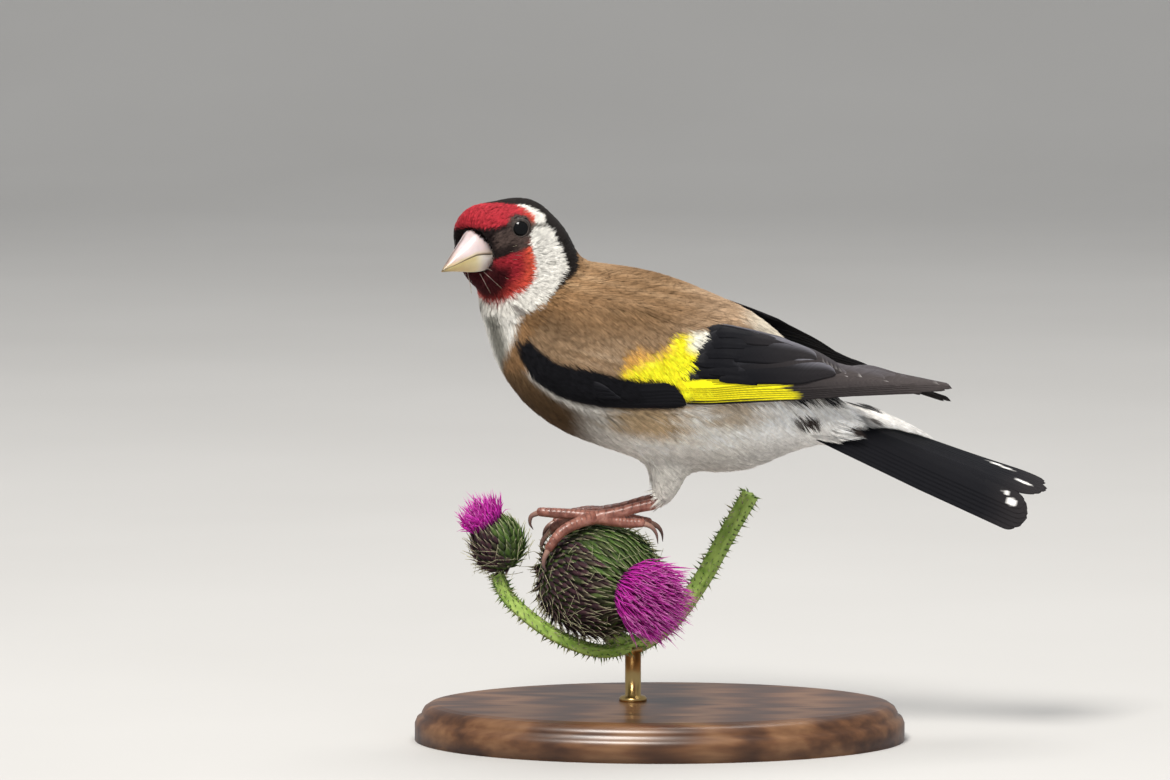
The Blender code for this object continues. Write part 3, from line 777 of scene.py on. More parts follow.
def island(bm):
    """Keeps only the largest connected part of a mesh."""
    left = set(bm.verts)
    best = set()
    while left:
        stack, seen = [next(iter(left))], set()
        while stack:
            vert = stack.pop()
            if vert in seen:
                continue
            seen.add(vert)
            stack += [edge.other_vert(vert) for edge in vert.link_edges]
        left -= seen
        if len(seen) > len(best):
            best = seen
    bmesh.ops.delete(bm, geom=[v for v in bm.verts if v not in best], context="VERTS")


skin_mesh = flesh()
island(skin_mesh)
skin_mesh.normal_update()
skin_mesh.verts.ensure_lookup_table()
skin_points = np.array([v.co for v in skin_mesh.verts])
skin_normals = np.array([v.normal for v in skin_mesh.verts])
skin_links = np.array([[e.verts[0].index, e.verts[1].index] for e in skin_mesh.edges])
skin_faces = [[v.index for v in f.verts] for f in skin_mesh.faces]


def spread_over(values, rounds):
    """Averages values with their neighbours on the skin."""
    a, b = skin_links.T
    count = np.bincount(skin_links.ravel(), minlength=len(values)).astype(float)
    for _ in range(rounds):
        total = values.copy()
        for column in range(values.shape[1]):
            total[:, column] += np.bincount(a, values[b, column], len(values))
            total[:, column] += np.bincount(b, values[a, column], len(values))
        values = total / (count + 1)[:, None]
    return values


def distance_from(start_points):
    """Distance over the skin from the vertices nearest some points."""
    neighbours = [[] for _ in skin_points]
    lengths = np.linalg.norm(skin_points[skin_links[:, 0]] - skin_points[skin_links[:, 1]], axis=1)
    for (a, b), length in zip(skin_links.tolist(), lengths.tolist()):
        neighbours[a].append((b, length))
        neighbours[b].append((a, length))
    distance = np.full(len(skin_points), 1e9)
    heap = []
    for point in start_points:
        index = int(np.argmin(((skin_points - point) ** 2).sum(1)))
        distance[index] = 0.0
        heap.append((0.0, index))
    heapq.heapify(heap)
    while heap:
        so_far, index = heapq.heappop(heap)
        if so_far > distance[index]:
            continue
        for other, length in neighbours[index]:
            if so_far + length < distance[other]:
                distance[other] = so_far + length
                heapq.heappush(heap, (so_far + length, other))
    return distance


def lie_of_feathers():
    """Directions over the skin that lead away from the bill, as the feathers lie."""
    bill_ring = [from_head((8.2, 3.6 * cos(a), -0.8 + 4.4 * sin(a))) for a in np.linspace(0, 2 * pi, 12)]
    distance = spread_over(distance_from(bill_ring)[:, None], 12)[:, 0]
    first, second = skin_links.T
    step = skin_points[second] - skin_points[first]
    rise = (distance[second] - distance[first]) / (step**2).sum(1)
    slope = np.zeros_like(skin_points)
    for column in range(3):
        weights = step[:, column] * rise
        slope[:, column] = np.bincount(first, weights, len(slope))
        slope[:, column] += np.bincount(second, weights, len(slope))
    slope = unit(spread_over(unit(slope), 8))
    return unit(slope - smooth_normals * (slope * smooth_normals).sum(1, keepdims=True))


smooth_normals = unit(spread_over(skin_normals, 3))
lie = lie_of_feathers()

skin_tree = kdtree.KDTree(len(skin_points))
for index, point in enumerate(skin_points):
    skin_tree.insert(point, index)
skin_tree.balance()


def nearest(points):
    """The skin's vertex nearest each point."""
    find = skin_tree.find
    return np.array([find(point)[1] for point in points.tolist()], np.int64)


# A map of the skin: how far along the body's middle line, and the turn round it.
MIDDLE = np.array([
    from_head((9.0, 0, -1.0)), from_head((0, 0, -1.0)), (-24.0, -8.5, 88.0), (-17.0, -7.0, 79.0),
    (-5.0, -6.3, 72.0), (8.0, -5.4, 67.0), (20.0, -4.6, 63.0), (36.0, -4.0, 59.0), (70.0, -4.0, 45.0),
])
MAP_LENGTH = 115.0


def body_map(points):
    """Places on the map for world points: along the middle line, and round it."""
    legs = np.linspace(0, 1, 8, endpoint=False)[:, None]
    line = np.concatenate([start + (end - start) * legs for start, end in zip(MIDDLE, MIDDLE[1:])])
    blocks = np.array_split(points, len(points) // 4000 + 1)
    index = np.concatenate([((block[:, None] - line[None]) ** 2).sum(2).argmin(1) for block in blocks])
    ahead = unit(np.gradient(line, axis=0))[index]
    up = np.array((0.35, 0.0, 1.0))
    up = unit(up - ahead * (ahead @ up)[:, None])
    side = np.cross(ahead, up)
    off = points - line[index]
    along = index / len(line) + (off * ahead).sum(1) / MAP_LENGTH
    turn = np.arctan2((off * side).sum(1), (off * up).sum(1)) / (2 * pi) + 0.5
    return np.stack([0.02 + 0.95 * np.clip(along, 0, 1), 0.02 + 0.95 * turn], 1)


def skin():
    """The one skin of the flesh, in the same colours as the coat and a little darker."""
    polygons = [np.array([face for face in skin_faces if len(face) == corners]) for corners in (3, 4)]
    array_piece(
        "skin", skin_points, [group for group in polygons if len(group)], SKIN, "feather_brown",
        colours=plumage(skin_points + 0.6 * smooth_normals) * 0.88,
        replaces=("head", "neck", "trunk", "thigh_left", "thigh_right"),
    )


skin()


# ---------------------------------------------------------------- the coat

STRAND_FACES = np.array([[0, 2, 1], [0, 3, 2], [0, 1, 3], [1, 2, 4], [2, 3, 4], [3, 1, 4]])
GAP, LENGTH, HALF_WIDTH, STRANDS, STRAND_WIDTH, TIP_HEIGHT = range(6)
# Per zone: gap between tufts, tuft length, half width, strands, strand width, height of the tips.
ZONES = {
    "face": (0.40, 1.75, 0.36, 16, 0.085, 0.42),
    "cap": (0.48, 2.35, 0.45, 17, 0.100, 0.42),
    "throat": (0.58, 3.7, 0.70, 20, 0.105, 0.52),
    "mantle": (0.70, 4.4, 0.88, 23, 0.110, 0.66),
    "covert": (0.62, 3.4, 0.72, 22, 0.105, 0.64),
    "breast": (0.72, 4.6, 0.88, 22, 0.110, 0.64),
    "belly": (0.76, 5.8, 0.95, 24, 0.105, 0.72),
    "vent": (0.78, 5.8, 0.95, 22, 0.110, 0.70),
    "thigh": (0.50, 2.6, 0.45, 18, 0.095, 0.45),
}
ZONE_NAMES = list(ZONES)
ZONE_SLOTS = (
    "feather_red", "feather_black", "feather_white", "feather_brown", "feather_brown", "feather_brown",
    "feather_white", "feather_white", "feather_white",
)
# Points along the middle line of a tuft, and tufts tried before those that stand too close go.
STATIONS = 5
TUFTS_TRIED = 150000
# Nothing grows below the end of the thighs.
THIGH_END = 45.6


def zone_of(points):
    """The zone of the coat at each point, as an index into ZONE_NAMES."""
    head = to_head(points)
    bird = to_bird(points)
    x, _, z = bird.T
    _, head_share = head_marking(head)
    theta, alpha = round_bill(head)
    _, wing, _ = wing_marking(bird)
    zone = np.full(len(points), ZONE_NAMES.index("mantle"))
    for name, inside in (
        ("belly", z < np.interp(x, (-22, 0, 24, 36), (74, 74, 67, 64))),
        ("breast", (x < -12) & (z < 78)),
        ("vent", x > 22),
        ("covert", (wing > 0.5) & (z < 84.5)),
        ("throat", (x < np.interp(z, *THROAT_EDGE) + 2) & (z > 70)),
        ("cap", head_share > 0.5),
        ("face", (head_share > 0.5) & (theta < np.interp(alpha, *RED_EDGE))),
        ("thigh", points[:, 2] < 53.0),
    ):
        zone[inside] = ZONE_NAMES.index(name)
    return zone


def apart(points, gaps):
    """Indices of the points that stand no nearer to an earlier one than their own gap."""
    cell = 0.6
    kept, cells = [], {}
    keys = np.floor(points / cell).astype(int)
    for i, (key, gap, point) in enumerate(zip(keys.tolist(), gaps.tolist(), points.tolist())):
        reach = range(-int(gap / cell) - 1, int(gap / cell) + 2)
        square = gap * gap
        if not any(
            (other[0] - point[0]) ** 2 + (other[1] - point[1]) ** 2 + (other[2] - point[2]) ** 2 < square
            for dx, dy, dz in product(reach, repeat=3)
            for other in cells.get((key[0] + dx, key[1] + dy, key[2] + dz), ())
        ):
            cells.setdefault(tuple(key), []).append(point)
            kept.append(i)
    return kept


def scatter(count, styles):
    """Points spread over the skin, with their normals and zones."""
    triangles = np.concatenate([[(f[0], f[i], f[i + 1]) for i in range(1, len(f) - 1)] for f in skin_faces])
    first, second, third = np.moveaxis(skin_points[triangles], 1, 0)
    area = np.linalg.norm(np.cross(second - first, third - first), axis=1)
    chosen = rng.choice(len(area), count, p=area / area.sum())
    a, b = rng.random((2, count, 1))
    folded = a + b > 1
    a, b = np.where(folded, 1 - a, a), np.where(folded, 1 - b, b)
    points = first[chosen] + a * (second[chosen] - first[chosen]) + b * (third[chosen] - first[chosen])
    normals = smooth_normals[triangles[chosen, 0]]
    zone = zone_of(points)
    kept = apart(points, styles[zone, GAP])
    return points[kept], normals[kept], zone[kept]


def trace(roots, lengths, turn):
    """Follows the lie of the coat from each root: middle line, normals and sideways directions."""
    lines = np.zeros((len(roots), STATIONS, 3))
    ups = np.zeros_like(lines)
    sides = np.zeros_like(lines)
    here = roots.copy()
    for k in range(STATIONS):
        index = nearest(here)
        up = smooth_normals[index]
        ahead = lie[index]
        side = np.cross(up, ahead)
        ahead = ahead * np.cos(turn)[:, None] + side * np.sin(turn)[:, None]
        on_skin = here - up * ((here - skin_points[index]) * up).sum(1, keepdims=True)
        # Past the end of the body the coat runs on over the root of the tail.
        tail = to_tail(to_bird(here))
        past = tail[:, 0] > -4.0
        over = np.where(tail[:, 2] > -0.3, 1.0, -1.0)
        rise = np.clip((over * 1.4 - tail[:, 2]) / 7, -0.35, 0.35)
        aim = np.stack([over * 0 + 1, -0.04 * tail[:, 1], rise], 1)
        flat = np.stack([over * 0, tail[:, 1] * 0.08, over], 1)
        aim, flat = ((v @ TAIL_TURN.T) @ BODY_TURN.T for v in (unit(aim), unit(flat)))
        ahead = np.where(past[:, None], aim, ahead)
        up = np.where(past[:, None], unit(flat + 0.6 * up * (tail[:, :1] < 0)), up)
        here = np.where(past[:, None], here, on_skin)
        lines[:, k], ups[:, k], sides[:, k] = here, up, unit(np.cross(up, ahead))
        here = here + ahead * (lengths / (STATIONS - 1))[:, None]
    return lines, ups, sides


def along(values, which, share):
    """Values of traced lines at a share of their length."""
    place = np.clip(share, 0, 1) * (STATIONS - 1)
    low = np.minimum(place.astype(int), STATIONS - 2)
    part = (place - low)[:, None]
    return values[which, low] * (1 - part) + values[which, low + 1] * part


def strands(lines, ups, sides, half, counts, widths, tips):
    """Tuft, points, shading normals and colour place of each strand: a root, a ring of three and a tip."""
    which = np.repeat(np.arange(len(lines)), counts)
    total = len(which)
    across = rng.uniform(-1, 1, total)
    begin = rng.uniform(0.0, 0.45, total) * (1 - 0.3 * np.abs(across))
    end = 1 - 0.32 * across**2 - rng.uniform(0, 0.18, total)
    layer = rng.uniform(-0.5, 0.5, total)
    width = widths[which] * rng.uniform(0.75, 1.25, total)
    stray = rng.normal(0, 0.09, total)
    stations = []
    for share in (0.0, 0.48, 1.0):
        s = begin + (end - begin) * share
        middle, up, side = along(lines, which, s), unit(along(ups, which, s)), unit(along(sides, which, s))
        fan = half[which] * (across * (0.4 + 0.6 * np.sqrt(np.clip(s, 0, 1))) + stray * share)
        height = tips[which] * (0.10 + 0.90 * np.clip(s, 0, 1) ** 0.75)
        height = height + layer * 0.3 * tips[which] * share**0.5 - 0.12 * fan**2 / half[which]
        stations.append((middle + side * fan[:, None] + up * height[:, None], up, side))
    (root, _, _), (belly, up, side), (tip, _, _) = stations
    reach = (width / 2)[:, None]
    points = np.stack([root, belly + side * reach, belly + up * reach * 0.7, belly - side * reach, tip], 1)
    lit = np.stack([up, unit(up + 0.35 * side), up, unit(up - 0.35 * side), up], 1)
    return which, points, lit, 0.35 * belly + 0.65 * tip


def coat_colours(spot, which, tuft_count):
    """Each strand's colour: the marking near its tip, varied by tuft and by strand, paler at the tip."""
    base = plumage(spot + rng.normal(0, 0.14, spot.shape))
    tuft = rng.normal(1, 0.075, tuft_count)[which]
    spread = 0.075 + 0.16 * np.clip((base[:, 0] - base[:, 1]) * 3, 0, 1)
    strand = rng.normal(1, 1, len(which)) * spread + 1
    bright = np.clip(tuft * strand, 0.45, 1.5)[:, None]
    tone = np.array([0.92, 1.0, 1.0, 1.0, 1.07])
    return np.clip((base * bright)[:, None] * tone[None, :, None], 0, BRIGHTEST)


# Strands in one piece, which keeps it under 200,000 triangles.
STRANDS_A_PIECE = 31000


def write_coat(name, points, lit, colours, uv_root, slot):
    """Writes strands as pieces; a strand's five points lie close together on the map of the skin."""
    parts = int(np.ceil(len(points) / STRANDS_A_PIECE))
    offset = np.array([(-0.7, 0), (0, -1), (0, 0), (0, 1), (0.9, 0)]) * 0.0015
    for number, index in enumerate(np.array_split(np.arange(len(points)), parts)):
        base = (np.arange(len(index)) * 5)[:, None, None]
        maps = uv_root[index][:, None] + offset[None]
        faces = (STRAND_FACES[None] + base).reshape(-1, 3)
        array_piece(
            f"{name}_{number + 1}", points[index].reshape(-1, 3), [faces], COAT, slot,
            colours[index].reshape(-1, 3), maps.reshape(-1, 2), normals=lit[index].reshape(-1, 3),
        )


def write_plain_coat(name, which, made, lit, tone, roots, slot):
    """Writes strands that have one colour each, for tufts with these roots."""
    colours = np.repeat(np.clip(tone, 0, BRIGHTEST)[:, None], 5, axis=1)
    write_coat(name, made, lit, colours, body_map(roots)[which], slot)


def hidden_by_wings(points, normals):
    """Points of the skin under the far part of a folded wing, where no coat shows."""
    trees = []
    for name in ("wing_left", "wing_right"):
        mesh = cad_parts[name].data
        trees.append(BVHTree.FromPolygons(
            [vert.co * (1 / MM) for vert in mesh.vertices],
            [tuple(polygon.vertices) for polygon in mesh.polygons],
        ))
    hidden = np.zeros(len(points), bool)
    bird = to_bird(points)
    for i, (point, normal) in enumerate(zip(points, normals)):
        if bird[i, 0] < ARM_END + 1.5 or not 71.4 < bird[i, 2] < 83:
            continue
        for tree in trees:
            hit = tree.ray_cast(Vector(point) + Vector(normal) * 0.4, Vector(normal))
            if hit[0] is not None and 0.6 < hit[3] < 6.0:
                hidden[i] = True
    return hidden


def bare(points, normals, lengths):
    """Where no tuft grows: in the bill, under the wings' vanes, at the tail's root and at the feet."""
    head, bird = to_head(points), to_bird(points)
    _, _, wing = wing_marking(bird)
    x, _, z = bird.T
    in_bill = (head[:, 0] > 7.4) & (np.hypot(head[:, 1] / 3.5, (head[:, 2] + 0.5) / 4.1) < 0.95)
    under = (wing > 0.4) & (x > np.interp(z, *BLACK_FRONT) - 2.4)
    # Below the yellow bar no tuft reaches over the vanes, and the flank's begin right under them.
    under |= (wing > 0.1) & (x + lengths > 7.8) & (z > 69.2) & (z < 72.5)
    under &= z > wing_edges("left", x)[0] - 0.1
    end_cap = (to_tail(bird)[:, 0] > -3) & ((normals @ (BODY_TURN @ (TAIL_TURN @ (1.0, 0, 0)))) > 0.75)
    return in_bill | under | end_cap | (points[:, 2] <= THIGH_END) | hidden_by_wings(points, normals)


def clear_eye(side, points, lengths):
    """Tufts that run towards an eye stop at its lid: their lengths, and which of them stay."""
    seat, axis = eye_seat(side)
    away = from_head(seat + axis * 1.7) - points
    ahead = (away * lie[nearest(points)]).sum(1)
    miss = np.sqrt(np.maximum((away**2).sum(1) - ahead**2, 0))
    room = ahead - np.sqrt(np.maximum(1.85**2 - miss**2, 0))
    lengths = np.where((ahead > 0) & (miss < 1.8) & (ahead < 5), np.clip(room, 0.3, lengths), lengths)
    return lengths, np.linalg.norm(away, axis=1) > 1.7


def grow_coat():
    """The tufts of head, neck, trunk, thighs and wing coverts."""
    styles = np.array(list(ZONES.values()))
    points, normals, zone = scatter(TUFTS_TRIED, styles)
    style = styles[zone]
    lengths = style[:, LENGTH] * rng.uniform(0.85, 1.15, len(points))
    keep = ~bare(points, normals, lengths)
    # The face's feathers shorten towards the bill.
    from_mouth = np.linalg.norm(to_head(points) - (8.0, 0, -0.8), axis=1)
    shorter = lengths * np.interp(from_mouth, (4, 9), (0.65, 1.0))
    lengths = np.where(zone == ZONE_NAMES.index("face"), shorter, lengths)
    for side in (-1, 1):
        lengths, clear = clear_eye(side, points, lengths)
        keep &= clear
    points, zone, style, lengths = (values[keep] for values in (points, zone, style, lengths))
    lines, ups, sides = trace(points, lengths, rng.normal(0, 0.09, len(points)))
    tips = style[:, TIP_HEIGHT] * np.clip(lengths / style[:, LENGTH], 0.4, 1)
    which, made, lit, spots = strands(
        lines, ups, sides, style[:, HALF_WIDTH], style[:, STRANDS].astype(int), style[:, STRAND_WIDTH], tips
    )
    colours = coat_colours(spots, which, len(points))
    uv_root = body_map(points)[which] + rng.uniform(-0.0015, 0.0015, (len(which), 2))
    for number, (name, slot) in enumerate(zip(ZONE_NAMES, ZONE_SLOTS)):
        chosen = zone[which] == number
        write_coat("coat_" + name, made[chosen], lit[chosen], colours[chosen], uv_root[chosen], slot)


grow_coat()


# ---------------------------------------------------------------- flight feathers

BLADE_ROWS, BLADE_COLUMNS = 42, 13
# Rows crowd towards the tip, where a vane rounds off.
BLADE_RUN = 0.35 * np.linspace(0, 1, BLADE_ROWS) + 0.65 * np.sin(np.linspace(0, pi / 2, BLADE_ROWS))
# Across a vane the shaft lies at this share; the barbs slant back from it by this slope.
SHAFT, SLANT = 0.3, 1.1
VANE_THICKNESS = 0.10
# Undersides are painted darker than the faces by this factor, as shade.
UNDERSIDE_SHADE = 0.35


def blade_grid(edge, width, shape, blunt=2.2):
    """Side-view points of a vane: edge is its outer edge from root to tip, width how far it reaches up."""
    s = BLADE_RUN
    knots = np.linspace(0, 1, len(edge))
    edge = np.array(edge, float)
    line = np.stack([np.interp(s, knots, edge[:, k]) for k in range(2)], 1)
    for _ in range(3):
        line[1:-1] = (line[:-2] + 2 * line[1:-1] + line[2:]) / 4
    ahead = unit(np.gradient(line, axis=0))
    up = np.stack([-ahead[:, 1], ahead[:, 0]], 1)
    up *= np.sign(up[:, 1:2])
    full = np.clip(s / 0.35, 0, 1) ** 0.6 * (1 - np.clip((s - shape) / (1 - shape), 0, 1) ** blunt) ** 0.5
    v = np.linspace(0, 1, BLADE_COLUMNS)
    reach = width * full
    shaft = SHAFT * width * (1 - 0.85 * soft(s, shape, 1.0))
    low = np.maximum(shaft - reach * SHAFT, 0)
    across = low[:, None] + (shaft + reach * (1 - SHAFT) - low)[:, None] * v[None]
    return line[:, None] + up[:, None] * across[..., None], s, v


def closed_sheet(top, bottom):
    """Points and quads of a sheet closed by its underside and its rim."""
    rows, columns = top.shape[:2]
    points = np.concatenate([top.reshape(-1, 3), bottom.reshape(-1, 3)])
    index = np.arange(rows * columns).reshape(rows, columns)
    quads = np.stack([index[:-1, :-1], index[1:, :-1], index[1:, 1:], index[:-1, 1:]], -1).reshape(-1, 4)
    under = quads[:, ::-1] + rows * columns
    rim = np.concatenate([index[0, :-1], index[:-1, -1], index[-1, :0:-1], index[:0:-1, 0]])
    after = np.roll(rim, -1)
    walls = np.stack([rim, after, after + rows * columns, rim + rows * columns], -1)
    return points, np.concatenate([quads, under, walls])


def gather(sheets):
    """Joins many sheets, each with its points, its faces and further rows of values for the points."""
    start, joined = 0, [[] for _ in sheets[0]]
    for points, faces, *values in sheets:
        for store, part in zip(joined, (points, faces + start, *values)):
            store.append(part)
        start += len(points)
    return [np.concatenate(parts) for parts in joined]


def blade(place, colour, cell, cells, flip=False):
    """A vane as a closed sheet: place(lift) gives its world points, its grid and the grid's two axes."""
    top, grid, s, v = place(0.0)
    points, quads = closed_sheet(top, place(-VANE_THICKNESS)[0])
    if flip:
        quads = quads[:, ::-1]
    ss, vv = np.meshgrid(s, v, indexing="ij")
    shades = colour(ss, vv, grid).reshape(-1, 3)
    length = np.linalg.norm(grid[-1, 0] - grid[0, 0])
    wide = np.linalg.norm(grid[BLADE_ROWS // 2, -1] - grid[BLADE_ROWS // 2, 0])
    from_shaft = np.abs(vv - SHAFT) * wide
    barbs = np.stack([ss * length - from_shaft * SLANT, from_shaft, ss * 0], -1).reshape(-1, 3)
    # Each vane has its own square of the map.
    size = int(np.ceil(np.sqrt(cells)))
    column, row = cell % size, cell // size
    maps = np.stack([(column + 0.06 + 0.88 * ss) / size, (row + 0.06 + 0.88 * vv) / size], -1)
    # The underside repeats the face's colours with painted shade.
    shades = np.concatenate([shades, shades * UNDERSIDE_SHADE])
    return points, quads, shades, np.tile(barbs, (2, 1)), np.tile(maps.reshape(-1, 2), (2, 1))


def wing_blade(side, edge, width, layer, colour, cell, cells, sunk=1.0, drop=0.0, low=0.0, **shape):
    """A vane on the wing's surface, deeper by its layer; its root sinks under the feathers before it."""
    grid, s, v = blade_grid(edge, width, **shape)
    share = wing_share(grid[..., 0], grid[..., 1])

    def place(lift):
        crown = 0.07 * np.exp(-(((v - SHAFT) / 0.10) ** 2)) - 0.06 * np.abs(v - SHAFT)
        root = -1.3 * (1 - soft(s, 0.0, 0.30)) * sunk
        landing = -0.14 * soft(s, 0.7, 1.0) - drop * (1 - soft(s, 0.35, 0.95)) - low
        full = 0.15 - 0.045 * layer + crown[None] + (root + landing)[:, None] + lift
        return wing_surface(side, grid[..., 0], share, full), grid, s, v

    return blade(place, colour, cell, cells, flip=side == "left")


def black_vane(pale_edge_and_sheen=0.0, worn_tip=0.0, yellow_to=None, brown=0.0):
    """Colours of a wing vane: black, browner to the tip, with a yellow base, a pale fringe that is partly
    painted sheen, or a worn tip.
    """

    def colour(s, v, grid):
        base = np.broadcast_to(WING_BLACK, (*s.shape, 3))
        base = mix(base, WORN, brown * soft(s, 0.35, 1.0))
        # A pale fringe along the upper margin, partly real and partly painted sheen.
        base = mix(base, FRINGE_AND_SHEEN, pale_edge_and_sheen * soft(v, 0.5, 1.0))
        tip = soft(s, 0.985, 0.996) * soft(v, 0.2, 0.4) * (1 - soft(v, 0.6, 0.8))
        base = mix(base, WORN_TIP, worn_tip * tip)
        if yellow_to is None:
            return base
        # The yellow ends in a ragged line, and is darker along the vane's lower edge with painted shade where
        # it steps over the vane below.
        x = grid[..., 0] + 0.5 * np.sin(v * 40)
        share = (1 - soft(x, yellow_to - 0.3, yellow_to + 0.3)) * (1 - soft(v, 0.40, 0.46))
        return mix(base, YELLOW * 1.04, share * (1 - (1 - soft(v, 0.0, 0.035)) * 0.6))

    return colour


def primaries():
    """Nine vanes: their outer edges fan from the wrist to the tips, each under the one further in."""
    tips = (
        (34.8, 71.6), (37.4, 71.2), (42.4, 69.9), (47.7, 69.1), (52.0, 68.6), (54.0, 68.2), (54.3, 67.8),
        (53.0, 67.5), (48.6, 67.4),
    )
    yellow_ends = (21.0, 21.8, 22.8, 23.8, 24.6, 25.4, 25.6, 25.0, None)
    worn_tips = (1.0, 0.5, 0.7, 0, 0.3, 0, 0, 0, 0)
    for i, (tip, end, worn) in enumerate(zip(tips, yellow_ends, worn_tips)):
        at_fifteen = 72.35 - 0.40 * i
        bow = 0.35 * at_fifteen + 0.65 * tip[1] + (0.25 if i < 8 else 0.5)
        middle = (0.5 * (15 + tip[0]), bow)
        edge = ((-2.0, 71.8 - 0.30 * i), (6.5, 72.1 - 0.37 * i), (15.0, at_fifteen), middle, tip)
        width = 4.4 if i < 3 else 4.0 - 0.25 * (i - 3)
        ending = dict(shape=0.62, blunt=2.4) if i < 4 else dict(shape=0.82, blunt=2.6)
        yield edge, width, 7 + i, black_vane(pale_edge_and_sheen=0.3, worn_tip=worn, yellow_to=end, brown=1.0), ending


def secondaries():
    """Five vanes over the inner primaries, the first three with yellow bases."""
    for i in range(5):
        tip = (33.6 - 0.8 * i, 72.5 + 0.45 * i)
        edge = ((0.0, 72.9 + 0.3 * i), (11.0, 72.9 + 0.3 * i), (22.0, 72.5 + 0.35 * i), tip)
        end = 20.5 - 4.0 * i if i < 3 else None
        colour = black_vane(pale_edge_and_sheen=0.2, worn_tip=0.25, yellow_to=end, brown=0.5)
        yield edge, 4.6, 6 - i, colour, dict(shape=0.66, blunt=2.6)


def tertials():
    """Three broad vanes, the innermost on top, each with a pale upper margin that is partly painted sheen."""
    for edge, width, layer in (
        (((6.0, 75.4), (12.6, 73.0), (19.2, 72.4), (25.9, 71.7), (32.5, 72.3)), 5.9, 1.2),
        (((6.5, 78.5), (13.0, 76.6), (21.0, 75.4), (29.0, 75.0)), 5.2, 0.6),
        (((7.0, 80.8), (12.0, 79.6), (17.5, 78.6), (24.5, 77.6)), 4.4, 0.0),
    ):
        yield edge, width, layer, black_vane(pale_edge_and_sheen=0.9, brown=0.2), dict(shape=0.50, blunt=1.8)


def wing_coverts():
    """Black inner greater coverts over the tertials' bases; primary coverts and alula in the band."""
    for i in range(6):
        low = 80.9 - 1.45 * i
        front = float(np.interp(low, BLACK_FRONT[0][3:], BLACK_FRONT[1][3:])) - 1.4
        edge = ((front, low - 0.2), (front + 5.0, low - 0.7), (front + 11.5 - 0.5 * i, low - 1.4))
        ending = dict(shape=0.45, blunt=1.6, sunk=0.5)
        yield edge, 2.9, -0.3 - 0.12 * (5 - i), black_vane(pale_edge_and_sheen=0.05), ending
    for i in range(5):
        edge = ((-13.0, 69.5 + 0.62 * i), (-5.0, 69.0 + 0.66 * i), (4.7 - 0.12 * i * i, 69.4 + 0.66 * i))
        ending = dict(shape=0.85, blunt=3.0, sunk=0.9, drop=0.7, low=0.2)
        yield edge, 1.9, -0.4 - 0.2 * i, black_vane(), ending
    for i in range(3):
        edge = ((-19.0, 72.0 + 0.7 * i), (-14.0, 70.9 + 0.7 * i), (-7.4 - 1.0 * i, 70.7 + 0.8 * i))
        ending = dict(shape=0.7, blunt=2.0, drop=0.9, low=0.4)
        yield edge, 1.8, -2.0 - 0.3 * i, black_vane(pale_edge_and_sheen=0.1), ending


def vane_piece(name, sheets, replaced):
    points, quads, colours, vane, maps = gather(sheets)
    array_piece(name, points, [quads], VANE, "feather_black", colours, maps, vane, replaces=(replaced,))


def wing_feathers(side):
    """Every vane of one folded wing, from the lowest layer up."""
    plan = [*primaries(), *secondaries(), *tertials(), *wing_coverts()]
    vane_piece("flight_feathers_" + side, [
        wing_blade(side, edge, width, layer, colour, cell, len(plan), **shape)
        for cell, (edge, width, layer, colour, shape) in enumerate(plan)
    ], "wing_" + side)


for side in ("left", "right"):
    wing_feathers(side)


# Each tail feather, from the left: its middle across the tail at root and tip, and its length.
TAIL_VANES = (
    (-4.3, -6.9, 35.2), (-3.6, -6.1, 36.2), (-2.9, -5.2, 36.6), (-2.2, -4.3, 36.5), (-1.5, -3.4, 36.2),
    (-0.7, -2.6, 35.5), (0.6, 1.3, 37.2), (1.1, 2.2, 38.2), (1.6, 3.7, 39.2), (2.1, 4.6, 39.4),
    (2.7, 6.6, 39.1), (3.2, 7.5, 38.9),
)
TAIL_MIDDLE = 5.5
# How far the tail's vanes run forward under the coat.
TAIL_COVERED = 11.0
# White marks near the tail's end: along, across, half length, half width.
TAIL_MARKS = (
    (32.9, -3.3, 1.1, 0.85), (31.5, -1.8, 0.6, 0.5), (34.5, 3.25, 1.8, 0.5), (30.0, 6.4, 2.6, 0.38)
)


def tail_colours(s, v, grid):
    colour = mix(np.broadcast_to(WING_BLACK, (*s.shape, 3)), WORN, 0.25 * soft(s, 0.8, 1.0))
    for run, across, long, wide in TAIL_MARKS:
        mark = blot((grid[..., 0] - run) / long, (grid[..., 1] - across) / wide, 0.75, 1.1)
        colour = mix(colour, TAIL_WHITE, mark)
    return colour


def tail_vane(number, cell):
    """One tail feather: the left lobe's end bluntly, and the right one's splay."""
    root, tip, length = TAIL_VANES[number]
    left = number < TAIL_MIDDLE
    s, v = BLADE_RUN, np.linspace(-1, 1, BLADE_COLUMNS)
    rounding, power, splay = (0.055, 2.0, 1.0) if left else (0.12, 1.7, 2.5)
    end = (1 - np.clip((s - 1 + rounding) / rounding, 0, 1) ** power) ** 0.5
    half = 2.0 * np.clip(0.72 + 0.5 * s, 0, 1) * end
    centre = root + (tip - root) * s**splay
    across = centre[:, None] + half[:, None] * v[None]
    run = np.broadcast_to((s * (length + TAIL_COVERED) - TAIL_COVERED)[:, None], across.shape)
    layer = 0.3 * (1 - abs(number - TAIL_MIDDLE) / TAIL_MIDDLE)

    def place(lift):
        crown = 0.04 * np.exp(-((v / 0.08) ** 2)) - 0.04 * np.abs(v)
        height = -0.45 + layer + crown[None] + lift
        return tail_surface(run, across, height), np.stack([run, across], -1), s, v

    return blade(place, tail_colours, cell, len(TAIL_VANES))


def tail_feathers():
    """Twelve tail feathers, the middle pair on top."""
    order = sorted(range(len(TAIL_VANES)), key=lambda number: -abs(number - TAIL_MIDDLE))
    vane_piece("tail_feathers", [tail_vane(number, cell) for cell, number in enumerate(order)], "tail")


